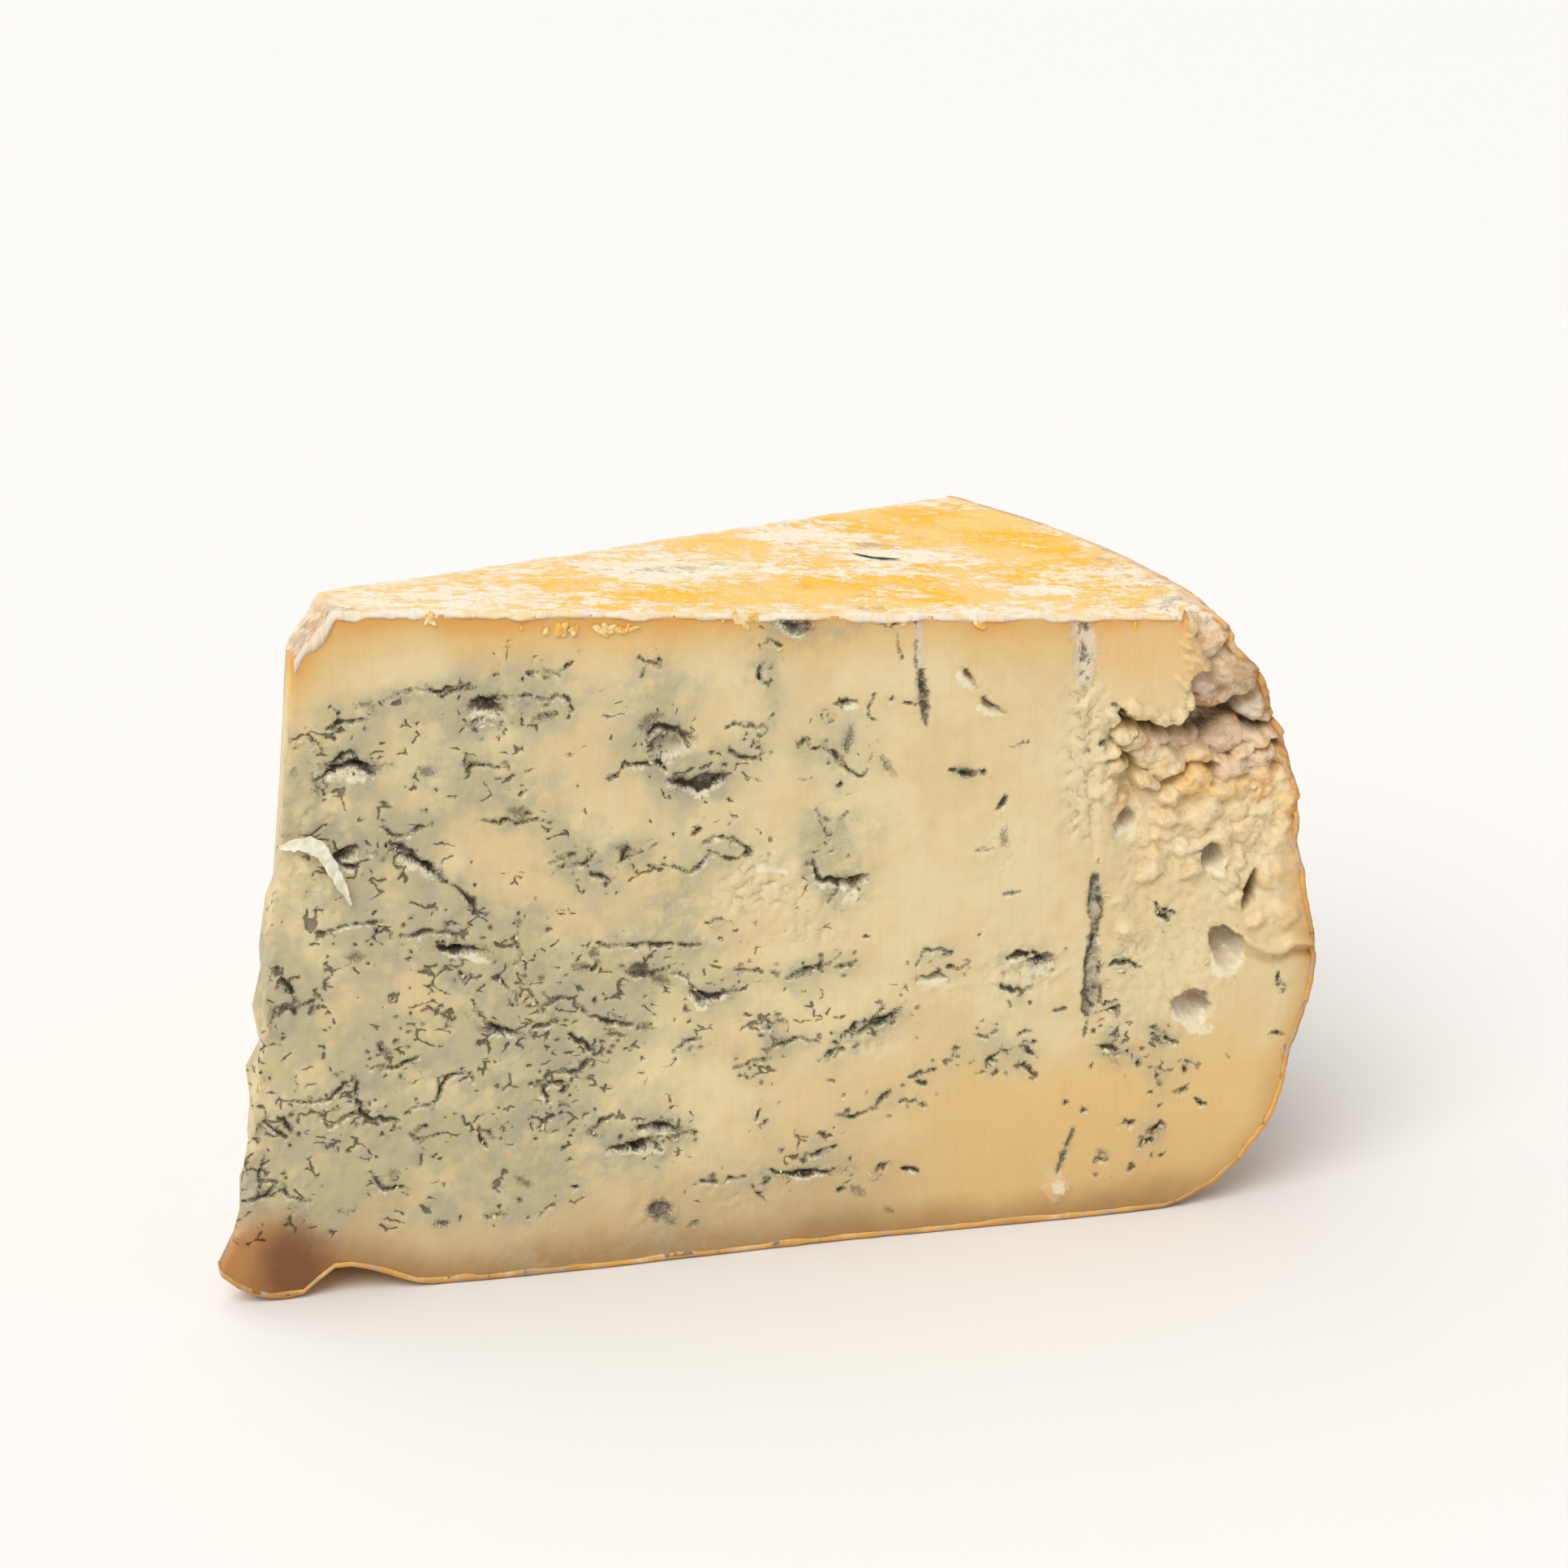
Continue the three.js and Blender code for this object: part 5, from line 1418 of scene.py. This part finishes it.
def buildRind():
    topCells, rimCells, baseCells = rind["cells"]
    total = topCells + rimCells + baseCells
    profile, across, outer, quads = latticeBox((total, rind["across"], 2))
    across = mix(across, ease(across, 0, 1), 0.6)  # finer by the cuts
    place = profile * total
    onTop, onBase = place <= topCells, place >= topCells + rimCells
    underneath = np.where(place > topCells + rimCells, (total - place) / baseCells, 1.0)
    along = np.where(place < topCells, place / topCells, underneath)
    up = upShare(np.clip(1 - (place - topCells) / rimCells, 0, 1))
    sheet = wedgePoints(along, across, up)
    x, y, z = sheet.T
    rimShare = np.clip((place - topCells) / rimCells, 0, 1)
    bevel = ease(x, *rind["crustX"]) * onTop
    thick = np.where(onTop, rind["thickTop"], mix(rind["thickSide"], rind["thickBase"], rimShare))
    thick = mix(thick, uneven(sheet, rind["crusty"], start=rind["thickBevel"]), bevel)
    topDips, baseDips, rimDips, lumpy = rindDips(sheet)
    onRim = ease(rimShare, 0, 0.05) * ease(rimShare, 1, 0.95)
    rough = mix(np.where(onTop, topDips + 0.35 * bevel * lumpy, baseDips), rimDips, onRim)
    under = thick + 0.25 + onRim * (rough - 0.1)
    inset = np.where(outer == 0, under, np.where(outer == 1, rough, 0.5 * (under + rough)))
    byHollow = rind["worn"] * ease(z, *rind["hollowZ"]) * ease(y, *rind["hollowY"]) * ~onTop
    inset = inset + byHollow * uneven(sheet, (0.5, 4.2, 50), start=0.5)
    points = wedgePoints(along, across, up, inset)

    # its torn edges by the cuts stand out and droop
    fromCut = np.minimum(across, 1 - across) * mix(*rind["wide"], along)
    ragged = np.clip(uneven(sheet, *rind["torn"], start=0.35), 0, 1.4)
    stands = rind["proud"] * ragged * np.exp(-fromCut / rind["standing"]) * np.where(onTop, 1.0, 0.45)
    turn, side = across * wheel["wedgeAngle"], np.where(across < 0.5, -1.0, 1.0)
    points[:, 0] += -side * np.sin(turn) * stands
    points[:, 1] += side * np.cos(turn) * stands
    droop = 0.7 * np.clip(unevenness(sheet, 3.4, 47) - 0.1, 0, 1)
    droop = droop + 0.4 * np.clip(unevenness(sheet, 1.7, 49), 0, 1)
    hangs = np.where(onTop, -droop, np.where(onBase, 0.9 * droop, 0))
    points[:, 2] += hangs * np.exp(-fromCut / rind["drooping"]) * (outer < 1)
    behindCut(points, y, recess(x, z)[0])
    swollen(points, sheet)

    onSide = patchLevel(y, z, rimPatches) + 1.3 * np.exp(-fromCut / rind["bare"])
    patches = np.where(onBase, 1.0, np.where(onTop, patchLevel(x, y, topPatches), onSide))
    stains = np.where(onTop, patchLevel(x, y, topStains), 0.5)
    bloom = [patches, np.exp(-fromCut) * onTop, np.maximum(0.8 * bevel, 1.0 * ~onTop)]
    body = meshFrom("rindSkin", inFrame(points), quads)
    storeVectors(body, rest=sheet, bloom=np.stack(bloom, axis=1),
                 stains=np.stack([stains, bevel * onTop, 0 * stains], axis=1))
    return body, fromCut > 2.0


rindTones = {
    "orange": tone(242, 184, 50), "peach": tone(240, 198, 118), "cream": tone(240, 221, 186),
    "white": tone(236, 226, 213), "grey": tone(186, 166, 144), "rimPale": tone(230, 206, 172),
    "crust": tone(226, 208, 180), "crustDark": tone(168, 134, 98), "amber": tone(224, 168, 92),
    "brown": tone(186, 134, 80), "mould": tone(120, 108, 92),
}


def makeRindMaterial():
    material, tree, shader = newMaterial("rind")
    tones = rindTones
    rest = attribute(tree, "rest")["Vector"]
    patch, cut, side = split(attribute(tree, "bloom")["Vector"])
    stain, crusty, _ = split(attribute(tree, "stains")["Vector"])
    streaks = noise(vectorCalc("MULTIPLY", rest, (0.55, 1.0, 1.0)), 3.4, 4.0, 0.62, 3.0)
    clouds = noise(rest, 15.0, 3.0, 0.6, 9.0)
    speckle = noise(rest, 0.8, 2.0, 0.6, 15.0)
    flecks = noise(vectorCalc("MULTIPLY", rest, (0.6, 1.0, 1.0)), 1.4, 5.0, 0.72, 21.0)

    level = patch * 0.8  # above zero the rind is bare
    for texture, strength in ((streaks, 2.3), (clouds, 1.6), (flecks, scaled(side, -1.6, 3.4)), (speckle, 1.2)):
        level = scaled(texture - 0.5, strength, level)
    softness = scaled(side, 0.45, 0.38)
    bare = step(level, calc("SUBTRACT", 0.03, softness), calc("ADD", 0.03, softness))

    warm = blend(step(clouds, 0.4, 0.6), tones["orange"], tones["peach"])
    ambers = blend(step(clouds, 0.35, 0.65), tones["amber"], tones["brown"])
    pale = blend(step(speckle, 0.35, 0.65), tones["cream"], tones["white"])
    crust = blend(step(flecks, 0.42, 0.58), tones["crustDark"], tones["crust"])
    grime = scaled(stain, 0.2, noise(rest, 2.6, 4.0, 0.65, 27.0))
    spots = scaled(stain, 0.1, noise(rest, 1.5, 3.0, 0.7, 35.0))
    colour = layered(
        blend(side * 0.8, pale, tones["rimPale"]),
        (bare, blend(side * 0.85, warm, ambers)),
        (crusty * 0.75, crust),
        (step(grime, 0.6, 0.76, 0.0, 0.75), tones["grey"]),
        (step(spots, 0.69, 0.76, 0.0, 0.65), tones["mould"]),
        (cut * 0.6, blend(step(streaks, 0.36, 0.68), tones["white"], tones["cream"])),
    )
    waxy(shader, 0.12, 0.0015, 0.75)
    shader.inputs["Specular IOR Level"].default_value = 0.3
    plug(colour, shader.inputs["Base Color"])
    plug(step(level, -0.3, 0.5, 0.85, 0.6), shader.inputs["Roughness"])
    bumped(shader, scaled(speckle, 0.5, streaks * 0.8) - bare * 0.2, 0.0006, 0.75)
    return material


rindMaterial = makeRindMaterial()
rindSkin, plainRind = buildRind()
thinned(rindSkin, rind["triangles"], plainRind)
settled(rindSkin, rindMaterial)
print("rind laid on")

shaving = {"path": [(8.0, -0.5, 72.6), (10.8, -1.0, 72.9), (13.6, -1.0, 72.2), (15.2, -0.9, 69.8),
                    (16.8, -0.8, 66.6), (18.6, -0.3, 62.6)],
           "widths": (0.3, 1.0, 1.25, 1.0, 0.85, 0.25), "thick": 0.3, "torn": 0.34, "fold": 0.5}


def stripMesh(name, strip, steps=70, sides=20):
    def lengths(vectors):
        return np.linalg.norm(vectors, axis=1)[:, None]

    centre = throughPoints(strip["path"], steps)
    heading = np.gradient(centre, axis=0)
    heading /= lengths(heading)
    sideways = np.cross(heading, (0, 1, 0))
    sideways /= lengths(sideways)
    facing = np.cross(heading, sideways)
    share = np.linspace(0, 1, steps)
    widths = np.interp(share, np.linspace(0, 1, len(strip["widths"])), strip["widths"])
    ends = np.sqrt(np.clip(1 - (2 * share - 1) ** 12, 0.0004, 1))  # narrows both ends to a point
    turn = np.linspace(0, 2 * math.pi, sides, endpoint=False)
    lift = 0.5 * strip["thick"] * np.sin(turn) + strip.get("fold", 0) * np.cos(turn) ** 2
    points = []
    for k in range(steps):
        ring = centre[k] + (widths[k] * ends[k] * np.cos(turn))[:, None] * sideways[k]
        points.append(ring + (ends[k] * lift)[:, None] * facing[k])
    points = np.concatenate(points)
    for strength, size, seeds in ((1.0, 1.4, (61, 62, 63)), (0.5, 0.6, (64, 65, 66))):
        shifts = [unevenness(points, size, seed) for seed in seeds]
        points += strength * strip["torn"] * np.stack(shifts, axis=1)
    i, j = np.meshgrid(np.arange(steps - 1), np.arange(sides), indexing="ij")
    low, high = i * sides, (i + 1) * sides
    nextJ = (j + 1) % sides
    quads = np.stack([low + j, low + nextJ, high + nextJ, high + j], axis=-1).reshape(-1, 4)
    points = np.vstack([points, points[:sides].mean(axis=0), points[-sides:].mean(axis=0)])
    first, last, start = len(points) - 2, len(points) - 1, (steps - 1) * sides
    around = np.arange(sides)
    following = (around + 1) % sides
    nearCap = np.stack([np.full(sides, first), following, around], axis=1)
    farCap = np.stack([np.full(sides, last), start + around, start + following], axis=1)
    triangles = np.concatenate([quads[:, [0, 1, 2]], quads[:, [0, 2, 3]], nearCap, farCap])
    piece = meshFrom(name, inFrame(points), triangles)
    storeVectors(piece, rest=points)
    return piece


def facedOutwards(piece):
    shape = bmesh.new()
    shape.from_mesh(piece.data)
    bmesh.ops.recalc_face_normals(shape, faces=shape.faces)
    shape.to_mesh(piece.data)
    shape.free()
    return piece


def makeScrapMaterial(name, base, stain, share, glow):
    material, tree, shader = newMaterial(name)
    rest = attribute(tree, "rest")["Vector"]
    grain = placed(grainGroup, {"Rest": rest, "Coarseness": 1.0})
    waxy(shader, glow, 0.0015, 0.5)
    stained = step(noise(rest, 1.6, 3.0, 0.6, 8.0), 0.4, 0.65, 0.0, share)
    plug(blend(stained, base, stain), shader.inputs["Base Color"])
    bumped(shader, grain["Height"], 0.0003, 0.6)
    return material


shavingMaterial = makeScrapMaterial("shaving", tone(240, 232, 208), tone(200, 196, 172), 0.5, 0.4)
curledShaving = settled(facedOutwards(stripMesh("curledShaving", shaving)), shavingMaterial)

# a dark thread on the top
thread = {"places": [(103.6, 34.6), (105.2, 32.6), (107.6, 31.2), (110.2, 30.6)],
          "widths": (0.06, 0.17, 0.2, 0.06), "thick": 0.3, "torn": 0.06}
thread["path"] = [(x, y, float(topSurface(x, y)) + 0.05) for x, y in thread["places"]]
threadMaterial = makeScrapMaterial("thread", tone(52, 62, 62), tone(84, 90, 84), 0.6, 0.0)
moldThread = settled(facedOutwards(stripMesh("moldThread", thread, 40, 10)), threadMaterial)
print("strips and thread laid")

crumbKinds = {
    "paleCrumbs": {"count": 150, "size": (0.16, 0.42), "seed": 3,
                   "tones": (tone(226, 208, 164), tone(216, 188, 132))},
    "orangeFlakes": {"count": 44, "size": (0.2, 0.95), "seed": 4,
                     "tones": (tone(236, 178, 78), tone(246, 222, 166))},
}
crumbs = {
    "inHollow": 0.45,  # this share of the pale ones, the others lie under cracks
    "hollowX": (134, 158),
    "hollowZ": (36, 80),
    "proud": -0.02,
    "underCrack": (0.2, 0.7),
    "uneven": 0.3,
}
flakeClusters = [  # along the top edge: x, spread, how far below the top, odds
    (51.0, 1.5, 2.7, 0.4), (58.0, 1.0, 2.7, 0.25), (32.3, 0.8, 0.9, 0.15), (77.5, 2.0, 0.9, 0.2),
]


def makeCrumbTree():
    inputs = {"Geometry": "Geometry", "Unevenness": "Float", "Material": "Material"}
    tree, given, made = groupOf("looseCrumbs", "GeometryNodeTree", inputs, {"Geometry": "Geometry"})
    ball = outputsOf(nodeOf(tree, "GeometryNodeMeshIcoSphere", {"Radius": 1.0, "Subdivisions": 2}))
    inputs = {"Points": given["Geometry"], "Instance": ball["Mesh"], "Scale": namedVector(tree, "halfSize"),
              "Rotation": namedVector(tree, "heading")}
    dotted = nodeOf(tree, "GeometryNodeInstanceOnPoints", inputs)
    realized = nodeOf(tree, "GeometryNodeRealizeInstances", {0: Field(dotted.outputs[0])})
    position = Field(tree.nodes.new("GeometryNodeInputPosition").outputs[0])
    bend = swirl(vectorCalc("SCALE", position, scale=1000.0), 0.4, 1.0, 0.5, 2.0)
    offset = vectorCalc("SCALE", bend, scale=given["Unevenness"] * 0.001)
    inputs = {"Geometry": Field(realized.outputs[0]), "Offset": offset}
    finishTree(Field(nodeOf(tree, "GeometryNodeSetPosition", inputs).outputs[0]), given, made)
    return tree


crumbTree = makeCrumbTree()


def paleCrumbPlace(draw):  # under a crack or anywhere in the crumbly part
    if draw.uniform() < crumbs["inHollow"]:
        return draw.uniform(*crumbs["hollowX"]), crumbs["proud"], draw.uniform(*crumbs["hollowZ"])
    halfWide, path = cracks[draw.integers(len(cracks))]
    share = draw.uniform()
    x, z = mix(path[0][0], path[-1][0], share), mix(path[0][1], path[-1][1], share)
    return x, crumbs["proud"], z - halfWide - draw.uniform(*crumbs["underCrack"])


def flakePlace(draw, clustered):  # torn off the rind along the top edge
    if clustered:
        odds = [cluster[-1] for cluster in flakeClusters]
        middle, spread, below, _ = flakeClusters[draw.choice(len(flakeClusters), p=odds)]
        x, below = middle + draw.normal(0, spread), below + draw.normal(0, 0.2)
    else:
        x, below = draw.uniform(16, 146), draw.uniform(0.9, 2.6)
    return x, 0.0, float(topSurface(np.array(x), 0.0)) - below


def buildCrumbs(name, kind):
    draw = np.random.default_rng(kind["seed"])
    pale = name == "paleCrumbs"
    numbers = range(kind["count"])
    centres = np.array([paleCrumbPlace(draw) if pale else flakePlace(draw, number % 4) for number in numbers])
    centres = centres[hollowFloor(centres[:, 0], centres[:, 2]) < 0.5]
    sizes = draw.uniform(*kind["size"], (len(centres), 1)) * draw.uniform(0.6, 1.2, (len(centres), 3))
    sizes = sizes * (1.4, 0.35, 0.7)
    heading = draw.uniform(-3, 3, (len(centres), 3)) * (0.2, 1, 0.2)
    piece = meshFrom(name, inFrame(centres), np.zeros((0, 3), int))
    storeVectors(piece, halfSize=sizes / 1000, heading=heading)
    material = makeScrapMaterial(name, *kind["tones"], 1.0, 0.15)
    runTree(piece, crumbTree, Unevenness=crumbs["uneven"], Material=material)
    settled(piece, material)
    storeVectors(piece, rest=coordinates(piece.data).astype(float) * 1000 - (*wheel["axis"], 0))
    return piece


crumbPieces = [buildCrumbs(name, kind) for name, kind in crumbKinds.items()]
print("crumbs scattered")

for piece, slot in ((pasteBody, "paste"), (rindSkin, "rind"), (curledShaving, "paste"),
                    (moldThread, "rind"), (crumbPieces[0], "paste"), (crumbPieces[1], "rind")):
    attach(piece, "root")
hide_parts("cheese")

stage = {
    "floor": tone(231, 230, 228), "floorSize": 6.0, "floorDrop": 0.0002,
    "lens": 102.484, "eye": (-0.15181, -0.65248, 0.29240), "look": (0.22878, 0.91761, -0.32503),
    "right": (0.97030, -0.24192, 0.0), "sky": (1.0, 0.99, 0.975, 1.0), "skyStrength": 0.52,
    "lamp": (1.0, 0.99, 0.97),
}


def buildStage():
    half = stage["floorSize"] / 2
    corners = np.array([(-half, -half, 0), (half, -half, 0), (half, half, 0), (-half, half, 0)])
    floor = meshFrom("floor", corners - (0, 0, stage["floorDrop"]), np.array([[0, 1, 2, 3]]))
    material, _, shader = newMaterial("floor")
    shader.inputs["Base Color"].default_value = stage["floor"]
    shader.inputs["Roughness"].default_value = 0.8
    floor.data.materials.append(material)
    world = bpy.data.worlds.new("studio")
    world.use_nodes = True
    background = world.node_tree.nodes["Background"]
    background.inputs["Color"].default_value = stage["sky"]
    background.inputs["Strength"].default_value = stage["skyStrength"]
    bpy.context.scene.world = world
    bpy.context.scene.view_settings.view_transform = "Standard"


def addSun(name, direction, angle, strength):
    data = bpy.data.lights.new(name, "SUN")
    data.angle = math.radians(angle)
    data.energy = strength
    data.color = stage["lamp"]
    lamp = bpy.data.objects.new(name, data)
    lamp.rotation_euler = Vector(direction).to_track_quat("-Z", "Y").to_euler()
    bpy.context.scene.collection.objects.link(lamp)


def addCamera():
    data = bpy.data.cameras.new("camera")
    data.sensor_width = 36
    data.lens = stage["lens"]
    data.clip_start = 0.01
    camera = bpy.data.objects.new("camera", data)
    look, right = Vector(stage["look"]), Vector(stage["right"])
    turn = Matrix((right, right.cross(look), -look)).transposed().to_4x4()
    camera.matrix_world = Matrix.Translation(stage["eye"]) @ turn
    bpy.context.scene.collection.objects.link(camera)
    bpy.context.scene.camera = camera


buildStage()
addSun("key", (0.5, 0.6, -0.85), 40, 2.0)
addSun("top", (0.35, -0.4, -1.0), 60, 0.9)
addCamera()
